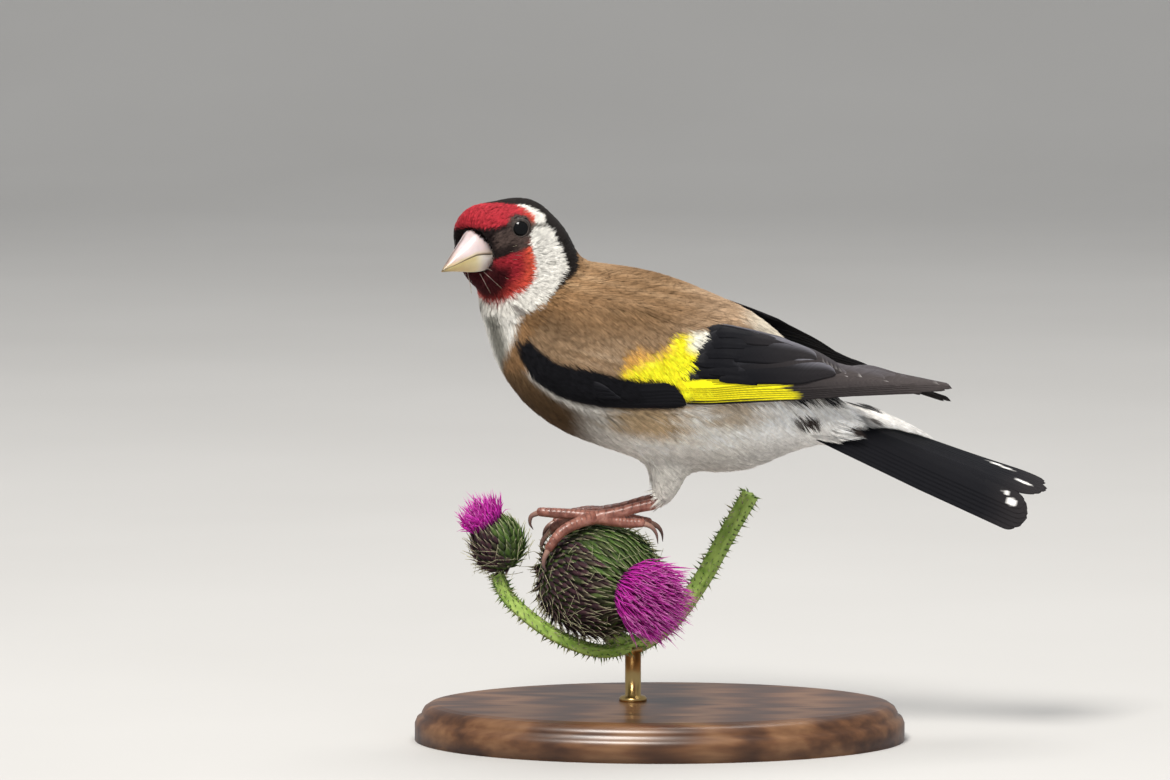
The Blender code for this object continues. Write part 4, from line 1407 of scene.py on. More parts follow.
# Where the tail coverts end along the tail, by their place across it.
COVERT_ENDS = ((-6.5, -5.6, -2.0, 0.6, 3.2, 5.2, 5.9, 7.0), (-4, -3.1, -0.1, 3.0, 7.2, 12.0, 15.6, 11.0))
# Black flecks among the white coverts: along, across, half length, half width.
COVERT_FLECKS = ((4.2, 2.4, 1.5, 0.8), (-3.5, -3.0, 1.0, 0.8))


def tail_coverts():
    """White coverts over the root of the tail, longest along its right edge."""
    count = 620
    turn = BODY_TURN @ TAIL_TURN
    across = rng.uniform(-6.4, 7.0, count)
    right = soft(across, 3.0, 6.0)
    finish = np.interp(across, *COVERT_ENDS) + 1.4
    finish = finish + rng.normal(0, 0.6, count) - 9.0 * rng.random(count) ** 2.0
    length = rng.uniform(5.0, 7.5, count)
    run = finish[:, None] + length[:, None] * (np.linspace(0, 1, STATIONS) - 1)
    lift = 0.10 + (0.25 + 0.35 * right)[:, None] * np.interp(run, (-6, 0, 10, 16), (1.0, 1.0, 0.9, 0.15))
    lift = lift - 0.45 * soft(run, 2, 8)
    sweep = across[:, None] - 0.5 * right[:, None] * soft(run, 6, 15)
    lines = tail_surface(run, sweep, lift)
    ups = np.broadcast_to(turn @ (0, 0.25, 1.0), lines.shape)
    ups = unit(ups + 0.6 * right[:, None, None] * (turn @ (0, 0.5, 0)))
    sides = np.broadcast_to(turn @ (0, 1.0, 0), lines.shape)
    full = np.ones(count)
    which, made, lit, ends = strands(
        lines, ups, sides, 0.6 * full, np.full(count, 20), 0.115 * full, 0.35 * full
    )
    tone = VENT * (rng.normal(1, 0.09, count)[which] * rng.normal(1, 0.10, len(which)))[:, None]
    along_tail, across_tail, _ = to_tail(to_bird(ends)).T
    for fleck_run, fleck_across, long, wide in COVERT_FLECKS:
        fleck = blot((along_tail - fleck_run) / long, (across_tail - fleck_across) / wide, 0.7, 1.3)
        tone = mix(tone, CAP_BLACK * 4, 0.9 * fleck)
    above = across_tail - 4.4 - 0.32 * along_tail
    tone = mix(tone, WING_BLACK, soft(above, -0.3, 0.3) * (1 - soft(along_tail, 4.6, 5.6)))
    # They lie so flat that they take the light as the tail does.
    lit = unit(0.25 * lit + (0, 0, 1.0))
    write_plain_coat("coat_tail_root", which, made, lit, tone, lines[:, 0], "feather_white")


tail_coverts()
tail_feathers()


# ---------------------------------------------------------------- lofts and tubes


def loft(rings, segments):
    """A closed skin over rings, each given as centre, up and side vectors."""
    bm = bmesh.new()
    circles = []
    for centre, up, side in rings:
        up, side = Vector(up), Vector(side)
        matrix = Matrix((side, up, side.cross(up).normalized())).transposed().to_4x4()
        matrix.translation = Vector(centre)
        circles.append(bmesh.ops.create_circle(bm, segments=segments, radius=1.0, matrix=matrix)["verts"])
    joined_rings(bm, circles)
    return bm


def curve(points, count):
    """A smooth curve through points, given as rows of any width (Catmull-Rom)."""
    rows = np.array(points, float)
    padded = np.concatenate([[2 * rows[0] - rows[1]], rows, [2 * rows[-1] - rows[-2]]])
    place = np.linspace(0, len(rows) - 1, count)
    low = np.minimum(place.astype(int), len(rows) - 2)
    t = (place - low)[:, None]
    a, b, c, d = (padded[low + k] for k in range(4))
    return 0.5 * (2 * b + (c - a) * t + (2 * a - 5 * b + 4 * c - d) * t**2 + (3 * b - a - 3 * c + d) * t**3)


def moving_frame(line):
    """Forward, side and up directions along a line, turned as little as possible."""
    ahead = unit(np.gradient(line, axis=0))
    side = np.cross(ahead[0], (0.1, 0.2, 1.0))
    sides = []
    for way in ahead:
        side = unit(side - way * (side @ way))
        sides.append(side)
    return ahead, np.array(sides), np.cross(sides, ahead)


def tube(points, radii, segments, count, pointed=False):
    """A round tube along points, with domed ends unless it is pointed."""
    rows = curve(np.column_stack([points, radii]), count)
    line, sizes = rows[:, :3], rows[:, 3:]
    ahead, sides, ups = moving_frame(line)
    rings = list(zip(line, ups * sizes, sides * sizes))
    if not pointed:
        centre, up, side = rings[-1]
        for share, drop in ((0.8, 0.5), (0.4, 0.85)):
            rings.append((centre + ahead[-1] * sizes[-1] * drop * 0.8, up * share, side * share))
    return loft(rings, segments)


# ---------------------------------------------------------------- eyes and bill


def head_place(bm):
    bmesh.ops.transform(bm, matrix=Matrix(HEAD_TURN.tolist()).to_4x4(), verts=bm.verts)
    bmesh.ops.translate(bm, vec=Vector(HEAD_CENTRE), verts=bm.verts)


def eye_material():
    """Wet black, with a dark brown iris that shows only at the rim."""
    pupil = (0.004, 0.004, 0.004)
    made, tree, shader = shader_of("eye_wet", 0.09, pupil, Specular_IOR_Level=0.28)
    paint(tree, shader, attribute(tree, "iris"), (
        (0.0, pupil), (0.55, pupil), (0.62, (0.020, 0.010, 0.006)), (1.0, (0.010, 0.006, 0.005))
    ))
    return made


def lid_material():
    made, tree, shader = shader_of("eyelid", 0.6, (0.03, 0.022, 0.02), Specular_IOR_Level=0.25)
    grain = noise(tree, object_place(tree), 2600.0, 3.0)
    paint(tree, shader, grain, ((0.3, (0.016, 0.013, 0.012)), (0.7, (0.075, 0.058, 0.050))))
    bump(tree, shader, grain, 0.0001)
    return made


EYE, LID = eye_material(), lid_material()
# The lid's cross-section: angle from the eye's axis in degrees, and distance from its centre.
LID_RIM = (
    (35.5, 2.20), (36.0, 2.35), (37.3, 2.45), (39.0, 2.48), (40.4, 2.42), (41.8, 2.50), (44.0, 2.53),
    (47.5, 2.50), (52.5, 2.40), (61.0, 2.22), (61.0, 1.98), (48.0, 2.05),
)
LID_BEADS = 22


def eye_place(bm, side):
    """Turns a mesh made round +Z to an eye's axis and sets it in the head."""
    seat, axis = eye_seat(side)
    turn = Vector((0, 0, 1)).rotation_difference(Vector(axis))
    bmesh.ops.rotate(bm, matrix=turn.to_matrix(), verts=bm.verts)
    bmesh.ops.translate(bm, vec=Vector(seat), verts=bm.verts)
    head_place(bm)


def eyeball(side, label):
    ball = bmesh.new()
    bmesh.ops.create_uvsphere(ball, u_segments=40, v_segments=28, radius=EYE_RADIUS)
    iris = ball.verts.layers.float.new("iris")
    for vert in ball.verts:
        vert[iris] = min(1.0, (1 - vert.co.z / EYE_RADIUS) * 2.6)
    eye_place(ball, side)
    piece("eyeball_" + label, ball, EYE, "eye_black", ("eye_" + label,))


def eyelid(side, label):
    """The lid's cross-section spun round the eye, with small beads along its rim."""
    lid = bmesh.new()
    rim = [lid.verts.new((r * sin(radians(a)), 0, r * cos(radians(a)))) for a, r in LID_RIM]
    edges = [lid.edges.new((rim[i], rim[(i + 1) % len(rim)])) for i in range(len(rim))]
    bmesh.ops.spin(
        lid, geom=rim + edges, cent=(0, 0, 0), axis=(0, 0, 1), angle=2 * pi, steps=72, use_merge=True
    )
    bmesh.ops.recalc_face_normals(lid, faces=lid.faces)
    for vert in lid.verts:
        turn = np.arctan2(vert.co.y, vert.co.x)
        vert.co *= 1 + 0.010 * sin(turn * LID_BEADS) * (vert.co.length > 2.4)
        # The opening is slightly longer from front to back.
        vert.co.x *= 1.03
    eye_place(lid, side)
    piece("eyelid_" + label, lid, LID, "eye_black")


for side, label in ((1, "left"), (-1, "right")):
    eyeball(side, label)
    eyelid(side, label)


# The bill by shares of its length: half depth, half width and height of its middle.
BILL_ROOT, BILL_LENGTH = 6.2, 10.4
BILL = (
    (0.0, 4.2, 3.4, -0.55),
    (0.2, 4.0, 3.15, -0.60),
    (0.4, 3.12, 2.5, -0.90),
    (0.6, 2.12, 1.75, -1.10),
    (0.8, 1.10, 1.0, -1.32),
    (0.94, 0.43, 0.42, -1.50),
    (1.0, 0.13, 0.13, -1.58),
)
BILL_ROWS = np.array([(BILL_ROOT + share * BILL_LENGTH, *rest) for share, *rest in BILL])
# The halves are parted along a line that falls by MOUTH_SLOPE, and half this gap lies to each side.
MOUTH_SLOPE, MOUTH_GAP = 0.04, 0.04
# How far the line of the mouth rises above its straight cut along the bill.
MOUTH_BEND = (
    (0.0, 0.08, 0.16, 0.24, 0.36, 0.55, 0.75, 1.0), (-0.85, -0.7, -0.35, 0.0, 0.34, 0.28, 0.12, 0.0)
)


def bill_material():
    """Horn: pink and ivory, darker along the culmen and at the tip, with a waxy shine."""
    made, tree, shader = shader_of(
        "bill_horn", 0.32, Specular_IOR_Level=0.5, Subsurface_Weight=0.12,
        Subsurface_Radius=(0.002, 0.001, 0.0006), Subsurface_Scale=1.0,
    )
    grain = noise(tree, object_place(tree), 500.0, 3.0, (1, 1, 0.5))
    tinted(tree, shader, attribute(tree, "horn", "Color"), grain, 0.9, 1.08)
    bump(tree, shader, noise(tree, object_place(tree), 1400.0, 2.0), 0.00004, 0.4)
    return made


BILL_HORN = bill_material()


def upper_horn(share, above, y, z):
    """Pink, browner to the tip, yellowish along the mouth and dark on the ridge."""
    colour = mix(rgb(0.65, 0.53, 0.53), rgb(0.49, 0.36, 0.30), soft(share, 0.45, 0.9))
    colour = mix(colour, rgb(0.62, 0.50, 0.24), 0.75 * (1 - soft(above, 0.2, 0.75)))
    ridge = max(0.0, 1 - abs(y) / 0.55) * float(soft(z, -1.0, -0.4))
    dark = float(soft(share, 0.80, 1.0)) * 0.8 + 0.85 * ridge * float(soft(share, 0.15, 0.4))
    return mix(colour, rgb(0.10, 0.07, 0.06), min(0.9, dark))


def lower_horn(share, above):
    """Ivory at the root, then yellowish, and dark at the tip."""
    colour = mix(rgb(0.72, 0.62, 0.36), rgb(0.62, 0.47, 0.24), soft(share, 0.3, 0.7))
    colour = mix(colour, rgb(0.50, 0.40, 0.16), 0.6 * (1 - soft(above, 0.3, 1.3)) * soft(share, 0.2, 0.35))
    colour = mix(colour, rgb(0.84, 0.76, 0.70), 1 - soft(share, 0.20, 0.42))
    return mix(colour, rgb(0.14, 0.09, 0.06), 0.7 * soft(share, 0.84, 1.0))


def bill_piece(upper):
    """One half of the bill, cut off the whole along the mouth, which then bends."""
    rows = curve(BILL_ROWS, 36)
    rings = [((x, 0, middle), (0, 0, depth), (0, width, 0)) for x, depth, width, middle in rows]
    bm = loft(rings, 40)
    cut = MOUTH_HEIGHT + (MOUTH_GAP if upper else -MOUTH_GAP)
    bmesh.ops.bisect_plane(
        bm, geom=list(bm.verts) + list(bm.edges) + list(bm.faces), dist=1e-5, plane_co=(BILL_ROOT, 0, cut),
        plane_no=(MOUTH_SLOPE, 0, 1.0), clear_inner=upper, clear_outer=not upper,
    )
    bmesh.ops.contextual_create(bm, geom=[edge for edge in bm.edges if edge.is_boundary])
    bmesh.ops.triangulate(bm, faces=[face for face in bm.faces if len(face.verts) > 4])
    bmesh.ops.recalc_face_normals(bm, faces=bm.faces)
    horn = bm.verts.layers.float_color.new("horn")
    for vert in bm.verts:
        x, y, z = vert.co
        share = (x - BILL_ROOT) / BILL_LENGTH
        above = abs(z - MOUTH_HEIGHT + MOUTH_SLOPE * (x - BILL_ROOT))
        # Painted shade darkens the line of the mouth between the halves.
        mouth = 0.8 * float(1 - soft(above, 0.05, 0.13)) * float(1 - 0.5 * soft(share, 0.6, 0.9))
        vert.co.z += float(np.interp(share, *MOUTH_BEND)) * np.exp(-((above / 1.5) ** 2))
        if upper:
            # The culmen stands up as a soft ridge.
            vert.co.z += 0.10 * max(0.0, 1 - abs(y) / 0.9) * min(1.0, max(0.0, z + 0.6))
        colour = upper_horn(share, above, y, z) if upper else lower_horn(share, above)
        vert[horn] = (*mix(colour, rgb(0.13, 0.085, 0.045), mouth).tolist(), 1.0)
    head_place(bm)
    name = "bill_upper" if upper else "bill_lower"
    piece(name + "_horn", bm, BILL_HORN, "horn_pink", (name,))


bill_piece(True)
bill_piece(False)


# ---------------------------------------------------------------- legs and claws

# In the world frame: each tarsus from the heel, the four toes from its end, and the claws' arcs.
LEGS = {
    "left": (
        ((0.4, -6.0, 46.2), (-1.4, -6.0, 45.2), (-4.0, -6.0, 44.6), (-8.0, -5.7, 43.5), (-11.6, -5.4, 42.7)),
        (
            ((-11.6, -5.4, 42.6), (-15.0, -7.0, 41.9), (-18.4, -8.3, 40.2), (-20.8, -8.9, 37.2)),
            ((-11.6, -5.4, 42.7), (-15.0, -5.0, 43.0), (-18.6, -4.2, 43.2), (-22.5, -3.3, 43.4)),
            ((-11.6, -5.4, 42.6), (-14.4, -3.0, 42.7), (-17.4, -1.4, 41.8), (-20.1, -0.5, 40.0)),
            ((-11.6, -5.4, 42.5), (-9.0, -5.6, 42.0), (-6.2, -5.6, 41.6), (-3.3, -5.6, 41.6)),
        ),
        (
            ((-21.6, -9.3, 35.4), (-21.7, -9.5, 34.0), (-21.1, -9.6, 32.9)),
            ((-24.0, -3.1, 42.6), (-24.3, -3.0, 41.2), (-23.7, -3.0, 40.0)),
            ((-21.4, -0.2, 38.3), (-22.0, -0.1, 37.0), (-22.0, 0.0, 35.7)),
            ((-1.7, -5.6, 40.9), (-0.7, -5.6, 39.5), (-0.4, -5.6, 37.6)),
        ),
    ),
    "right": (
        ((1.4, 4.6, 46.0), (-0.4, 4.6, 45.0), (-3.0, 4.8, 44.4), (-7.0, 5.0, 43.2), (-10.6, 5.0, 42.3)),
        (
            ((-10.6, 5.0, 42.2), (-14.0, 6.8, 41.2), (-17.2, 8.2, 39.4), (-19.5, 8.7, 36.4)),
            ((-10.6, 5.0, 42.3), (-14.2, 5.0, 42.4), (-17.8, 4.6, 41.3), (-20.7, 4.1, 38.9)),
            ((-10.6, 5.0, 42.2), (-13.4, 3.0, 42.5), (-16.6, 1.8, 42.4), (-19.5, 1.1, 41.0)),
            ((-10.6, 5.0, 42.1), (-8.0, 5.0, 41.7), (-5.0, 4.8, 41.0), (-2.0, 4.6, 40.5)),
        ),
        (
            ((-20.4, 9.2, 34.9), (-20.5, 9.4, 33.6), (-20.0, 9.5, 32.5)),
            ((-21.8, 4.1, 37.4), (-22.3, 4.1, 36.1), (-22.2, 4.1, 34.8)),
            ((-20.9, 0.8, 40.2), (-21.7, 0.7, 39.0), (-21.9, 0.6, 37.6)),
            ((-0.5, 4.5, 39.8), (0.4, 4.5, 38.5), (0.6, 4.5, 36.8)),
        ),
    ),
}
TARSUS_RADII = (1.15, 1.12, 1.04, 1.06, 1.3)
TOE_RADII = (1.22, 1.10, 1.0, 0.86)
CLAW_RADII = (0.60, 0.45, 0.28, 0.05)
# Pads under the joints of a toe: which ninth of it, and their radius.
TOE_PADS = ((3, 0.95), (6, 0.85))
TARSUS_PLATES, TOE_PLATES = 9, 12


def leg_material():
    """Scaled skin, pinkish brown and darker in the grooves between the plates, partly as painted shade."""
    made, tree, shader = shader_of(
        "leg_scutes", 0.34, Specular_IOR_Level=0.6, Subsurface_Weight=0.08,
        Subsurface_Radius=(0.0015, 0.0006, 0.0004), Subsurface_Scale=1.0,
    )
    place = object_place(tree)
    colour = ramp(tree, noise(tree, place, 700.0, 3.0), (
        (0.3, (0.140, 0.047, 0.033)), (0.5, (0.235, 0.088, 0.062)), (0.72, (0.36, 0.165, 0.125))
    ))
    tinted(tree, shader, colour, attribute(tree, "groove"), 1.12, 0.50)
    bump(tree, shader, noise(tree, place, 2400.0, 2.0), 0.00006, 0.5)
    return made


def claw_material():
    """Horn that darkens to its point."""
    made, tree, shader = shader_of("claw_horn_dark", 0.25, Specular_IOR_Level=0.5)
    paint(tree, shader, attribute(tree, "claw"), (
        (0.0, (0.42, 0.24, 0.18)), (0.5, (0.20, 0.11, 0.09)), (1.0, (0.05, 0.03, 0.03))
    ))
    bump(tree, shader, noise(tree, object_place(tree), 900.0, 2.0, (1, 1, 4)), 0.00004, 0.4)
    return made


LEG, CLAW = leg_material(), claw_material()


def plate_legs(bm, lines):
    """Raises the scutes across the top of tarsus and toes; lines gives centre lines and plate counts."""
    tree = kdtree.KDTree(sum(len(line) for line, _ in lines))
    places = []
    for line, plates in lines:
        for k, point in enumerate(line):
            tree.insert(point, len(places))
            places.append(plates * k / (len(line) - 1))
    tree.balance()
    bm.normal_update()
    layer = bm.verts.layers.float.new("groove")
    for vert, normal in [(v, v.normal.copy()) for v in bm.verts]:
        point, index, _ = tree.find(vert.co)
        out = (vert.co - point).normalized()
        top = float(soft(out.z, -0.35, 0.35))
        # Plates wrap forward a little, so their edges lie aslant across the toe.
        plate = abs(sin(pi * (places[index] + 0.25 * out.z))) ** 0.45
        vert.co += normal * ((0.02 + 0.06 * top) * (plate - 0.7))
        # The groove value darkens the skin between the plates, partly as painted shade, more on top.
        vert[layer] = (1 - plate) * (0.35 + 0.65 * top)


def leg(side, tarsus, toes):
    """Tarsus, toes and pads under one scaled skin."""
    whole = bmesh.new()
    absorb(whole, tube(tarsus, TARSUS_RADII, 20, 60))
    for toe in toes:
        absorb(whole, tube(toe, TOE_RADII, 18, 50))
        for ninth, size in TOE_PADS:
            pad = bmesh.new()
            bmesh.ops.create_icosphere(pad, subdivisions=2, radius=size)
            place = Vector(curve(toe, 9)[ninth]) + Vector((0, 0, -0.22))
            bmesh.ops.translate(pad, vec=place, verts=pad.verts)
            absorb(whole, pad)
    foot = remeshed(whole, 0.13)
    smoothed(foot, 3)
    lines = [(curve(tarsus, 120)[8:], TARSUS_PLATES)] + [(curve(toe, 120), TOE_PLATES) for toe in toes]
    plate_legs(foot, lines)
    piece("leg_" + side, foot, LEG, "leg_pink", ("foot_" + side,))


def claw(name, toe, arc):
    """A claw that starts inside the end of its toe and thins to a point."""
    end, before = Vector(toe[-1]), Vector(toe[-2])
    start = end - (end - before).normalized() * 0.3
    bm = tube((tuple(start), *arc), CLAW_RADII, 12, 26, pointed=True)
    layer = bm.verts.layers.float.new("claw")
    tip = Vector(arc[-1])
    for vert in bm.verts:
        vert[layer] = max(0.0, 1 - (vert.co - tip).length / 5.0)
    piece(name + "_horn", bm, CLAW, "claw_horn", (name,))


for side, (tarsus, toes, claws) in LEGS.items():
    leg(side, tarsus, toes)
    for number, (toe, arc) in enumerate(zip(toes, claws)):
        claw(f"claw_{side}_{number + 1}", toe, arc)


# The turn from one loose feather or floret to the next: the golden angle, rounded.
SPIRAL_TURN = 2.39996


def leg_fringe():
    """Loose feathers that hang from the end of each thigh over the tarsus."""
    lines, ups, sides = [], [], []
    for tarsus, _, _ in LEGS.values():
        root = np.array(tarsus[0])
        ahead = unit(np.array(tarsus[2]) - root)
        across = unit(np.cross(ahead, (0, 0, 1.0)))
        over = np.cross(across, ahead)
        for k in range(34):
            a = k * SPIRAL_TURN
            out = across * cos(a) + over * sin(a)
            start = root + out * rng.uniform(1.0, 1.5) - ahead * rng.uniform(0.2, 1.6) + (0, 0, 0.8)
            way = unit(ahead + 0.22 * out * rng.normal(0.6, 0.6) + (0, 0, -0.25))
            s = np.linspace(0, rng.uniform(2.2, 4.0), STATIONS)[:, None]
            lines.append(start + way * s + out * 0.03 * s**2)
            ups.append(np.broadcast_to(out, (STATIONS, 3)))
            sides.append(np.broadcast_to(np.cross(out, ahead), (STATIONS, 3)))
    lines, ups, sides = np.array(lines), np.array(ups), np.array(sides)
    full = np.ones(len(lines))
    which, made, lit, _ = strands(
        lines, ups, sides, 0.42 * full, np.full(len(lines), 14), 0.085 * full, 0.25 * full
    )
    tone = BELLY * rng.uniform(0.75, 1.15, (len(which), 1))
    write_plain_coat("coat_leg_fringe", which, made, lit, tone, lines[:, 0], "feather_white")


leg_fringe()


# ---------------------------------------------------------------- thistle

# Centre, radii, the way the open end faces and the number of bracts of each flower head.
HEADS = {
    "perch_head": ((-11.5, -1.0, 30.4), (12.0, 13.0, 11.2), (0.62, -0.76, -0.12), 620),
    "perch_head_front": ((-30.2, -3.5, 37.4), (5.6, 5.8, 6.0), (-0.5, -0.1, 0.85), 190),
}
# The florets of each head: radius of their brush, reach from the head's centre, and number.
BRUSHES = (
    ("perch_florets", "perch_head", 5.9, 20.5, 1000),
    ("perch_florets_front", "perch_head_front", 3.6, 11.0, 320),
)
# Bracts lie close this near to where the toes stand, and above this height.
UNDER_TOES, TOES_REACH, CLOSE_ABOVE = np.array((-12, -5, 43)), 9, 38.5
GREEN, PURPLE, STRAW = rgb(0.075, 0.135, 0.028), rgb(0.060, 0.026, 0.034), rgb(0.42, 0.40, 0.25)
PLANT = plumage_material("thistle_bract", 0.6, 900.0, 0.05)


def plant_material(name, low, high, roughness=0.6, scale=300.0):
    made, tree, shader = shader_of(name, roughness, Specular_IOR_Level=0.3)
    place = object_place(tree)
    paint(tree, shader, noise(tree, place, scale, 4.0), ((0.3, low), (0.7, high)))
    bump(tree, shader, noise(tree, place, scale * 4, 2.0), 0.0001, 0.4)
    return made


def square_tube(rows):
    """Faces of a closed tube of four sides."""
    quads = [
        (4 * k + j, 4 * k + (j + 1) % 4, 4 * k + 4 + (j + 1) % 4, 4 * k + 4 + j)
        for k in range(rows - 1) for j in range(4)
    ]
    return np.array(quads + [(3, 2, 1, 0), tuple(4 * rows - 4 + j for j in range(4))])


def spine_sheet(root, ahead, up, length, width, curl, tone):
    """A pointed bract: a closed, keeled blade that ends in a spine."""
    s = np.array((0.0, 0.25, 0.5, 0.72, 1.0))
    half = width * np.array((0.8, 1.0, 0.72, 0.22, 0.02))
    side = np.cross(up, ahead)
    line = root + ahead * (s * length)[:, None] + up * (curl * length * s**2)[:, None]
    left = line - side * half[:, None]
    right = line + side * half[:, None]
    keel = line + up * (half * 0.45 + 0.03)[:, None]
    under = line - up * 0.06
    points = np.stack([left, keel, right, under], 1).reshape(-1, 3)
    shades = mix(tone[None] * (0.6 + 0.5 * s[:, None]), STRAW[None] * 1.2, soft(s, 0.62, 0.9))
    return points, square_tube(len(s)), np.repeat(shades, 4, axis=0)


def ball_map(points, centre, radii):
    """Places on a map round a flower head: the turn round it and the angle from its top."""
    off = (points - centre) / radii
    turn = np.arctan2(off[:, 1], off[:, 0]) / (2 * pi) + 0.5
    up = np.arccos(np.clip(off[:, 2] / np.linalg.norm(off, axis=1), -1, 1)) / pi
    return np.stack([turn, up], 1) * 0.96 + 0.02


def plant_piece(name, sheets, slot, replaces=()):
    points, quads, colours, maps = gather(sheets)
    array_piece(name, points, [quads], PLANT, slot, colours=colours, maps=maps, replaces=replaces)


def thistle_core(name, centre, radii):
    body = bmesh.new()
    bmesh.ops.create_uvsphere(body, u_segments=40, v_segments=28, radius=1.0)
    bmesh.ops.scale(body, vec=tuple(radii - 0.9), verts=body.verts)
    bmesh.ops.translate(body, vec=Vector(centre), verts=body.verts)
    made = plant_material(name + "_green", (0.03, 0.05, 0.012), (0.10, 0.15, 0.04))
    piece(name + "_core", body, made, "thistle_green")


def thistle_head(name, centre, radii, axis, count):
    """A head of spiny bracts in a spiral from the stalk to the open end, with cobweb hairs."""
    centre, radii, axis = np.array(centre), np.array(radii), unit(np.array(axis))
    thistle_core(name, centre, radii)
    turn = Vector(axis).to_track_quat("Z", "Y").to_matrix()
    long = 4.2 * (radii[0] / 12) ** 0.4
    sheets = []
    for k in range(count):
        z = 1 - 1.84 * (k + 0.5) / count
        r = (1 - z * z) ** 0.5
        direction = np.array(turn @ Vector((r * cos(GOLDEN_ANGLE * k), r * sin(GOLDEN_ANGLE * k), -z)))
        root = centre + direction * (radii - 0.95)
        up = unit(direction / radii)
        ahead = unit(axis - up * (axis @ up) + rng.normal(0, 0.05, 3))
        size = rng.uniform(0.85, 1.15)
        # Brown-purple towards the left, greener under the toes and to the right.
        green = soft(direction[0] + 0.5 * direction[2] + rng.normal(0, 0.25), -0.3, 0.4)
        tone = mix(PURPLE, GREEN, green) * rng.uniform(0.7, 1.3)
        crowded = np.linalg.norm(root - UNDER_TOES) < TOES_REACH or root[2] > CLOSE_ABOVE
        curl = 0.08 if crowded else rng.uniform(0.15, 0.5)
        bract = spine_sheet(root, ahead, up, long * size, 0.58 * size, curl, tone)
        sheets.append((*bract, ball_map(bract[0], centre, radii)))
        if k % 3 == 0 and not crowded:
            way = unit(np.cross(up, rng.normal(0, 1, 3)))
            reach, curl = rng.uniform(2.5, 5.0), rng.uniform(-0.25, 0.15)
            hair = spine_sheet(root + up * 1.0, way, up, reach, 0.035, curl, STRAW * 1.5)
            sheets.append((*hair, ball_map(hair[0], centre, radii)))
    plant_piece(name + "_bracts", sheets, "thistle_green", (name,))


def florets(name, head, width, length, count):
    """A brush of thin tubes with curling ends."""
    centre, radii, axis, _ = HEADS[head]
    centre, axis = np.array(centre), unit(np.array(axis))
    turn = np.array(Vector(axis).to_track_quat("Z", "Y").to_matrix())
    inside = float(np.linalg.norm(np.array(radii) * axis)) - 2.0
    s = np.linspace(0, 1, 6)
    half = 0.115 * np.array((0.8, 0.8, 0.9, 1.1, 0.8, 0.12))[:, None]
    sheets = []
    for k in range(count):
        r = ((k + 0.5) / count) ** 0.5
        a = k * SPIRAL_TURN
        out = turn @ np.array((cos(a), sin(a), 0.0))
        start = centre + axis * inside + out * width * 0.85 * r
        finish = length - inside - (1.5 + 1.2 * rng.random()) * (0.2 + 0.8 * r**2)
        lean = unit(axis + out * 0.62 * r + rng.normal(0, 0.06, 3))
        bend = rng.normal(0, 0.9, 3) - out * 1.8 * r + np.array((0.7, 0, -0.9))
        line = start + lean * (s * finish)[:, None] + bend * (s**2)[:, None]
        side = unit(np.cross(lean, rng.normal(0, 1, 3)))
        up = np.cross(side, lean)
        ring = [line + side * half, line + up * half, line - side * half, line - up * half]
        points = np.stack(ring, 1).reshape(-1, 3)
        tone = mix(rgb(0.38, 0.004, 0.24), rgb(0.62, 0.035, 0.46), rng.random())
        tips = mix(tone[None], rgb(0.75, 0.35, 0.6)[None], soft(s, 0.75, 1.0) * rng.random())
        shades = tips * (0.35 + 0.65 * soft(s, 0.0, 0.5))[:, None]
        shades = np.repeat(shades, 4, axis=0)
        sheets.append((points, square_tube(len(s)), shades, ball_map(points, centre, radii)))
    plant_piece(name + "_brush", sheets, "thistle_purple", (name,))


for name, head in HEADS.items():
    thistle_head(name, *head)
for brush in BRUSHES:
    florets(*brush)

STEM = (
    (17.0, 7.5, 45.5), (12.5, 8.4, 37.5), (7.5, 8.6, 28.5), (1.5, 6.2, 21.0), (-5.0, 2.4, 17.6),
    (-9.5, 0.0, 19.6),
)
SIDE_STEM = (
    (-3.5, 3.0, 18.0), (-11.0, -2.4, 16.9), (-20.0, -4.6, 20.5), (-28.0, -4.0, 26.8), (-30.6, -3.7, 32.0)
)
# Radius, rows and longest spine of each stem.
STEMS = ((STEM, 1.55, 90, (1.0, 2.3)), (SIDE_STEM, 1.2, 80, (0.9, 2.0)))
STEM_SIDES, STEM_RIDGES, SPINE_RANKS = 20, 5, 8


def stem_spines(line, radius, longest):
    """Eight winding ranks of spines, two rows of the stem apart."""
    ahead, sides, ups = moving_frame(line)
    for k in range(0, len(line), 2):
        for rank in range(SPINE_RANKS):
            a = pi / 4 * rank + 0.35 * sin(k * 0.9) + 0.6
            out = ups[k] * cos(a) + sides[k] * sin(a)
            slant = unit(out + ahead[k] * rng.uniform(-0.5, 0.6) + rng.normal(0, 0.12, 3))
            root = line[k] + out * radius * 0.75
            spine = rng.uniform(*longest)
            tone = mix(rgb(0.14, 0.27, 0.05), STRAW, rng.random())
            sheet = spine_sheet(root, slant, unit(np.cross(slant, ahead[k])), spine, 0.19, 0.1, tone)
            off = 0.003 * (sheet[0] - root)
            run, turn = 0.02 + 0.95 * k / len(line), 0.1 + 0.1 * rank
            yield *sheet, np.column_stack([run + off[:, 0], turn + off[:, 2]])


def stem():
    """The ridged stems with their spines."""
    whole = bmesh.new()
    sheets = []
    for points, radius, count, longest in STEMS:
        line = curve(points, count)
        _, sides, ups = moving_frame(line)
        sheets += stem_spines(line, radius, longest)
        part = loft(list(zip(line, ups * radius, sides * radius)), STEM_SIDES)
        part.normal_update()
        for n, vert in enumerate(part.verts):
            ridge = 0.16 * cos(STEM_RIDGES * 2 * pi * (n % STEM_SIDES) / STEM_SIDES)
            vert.co += vert.normal * ridge * radius
        absorb(whole, part)
    made = plant_material("stem_green", (0.20, 0.34, 0.05), (0.42, 0.56, 0.14), 0.5, 500.0)
    piece("thistle_stem", whole, made, "thistle_green", ("perch_stem",))
    plant_piece("thistle_spines", sheets, "thistle_green")


stem()


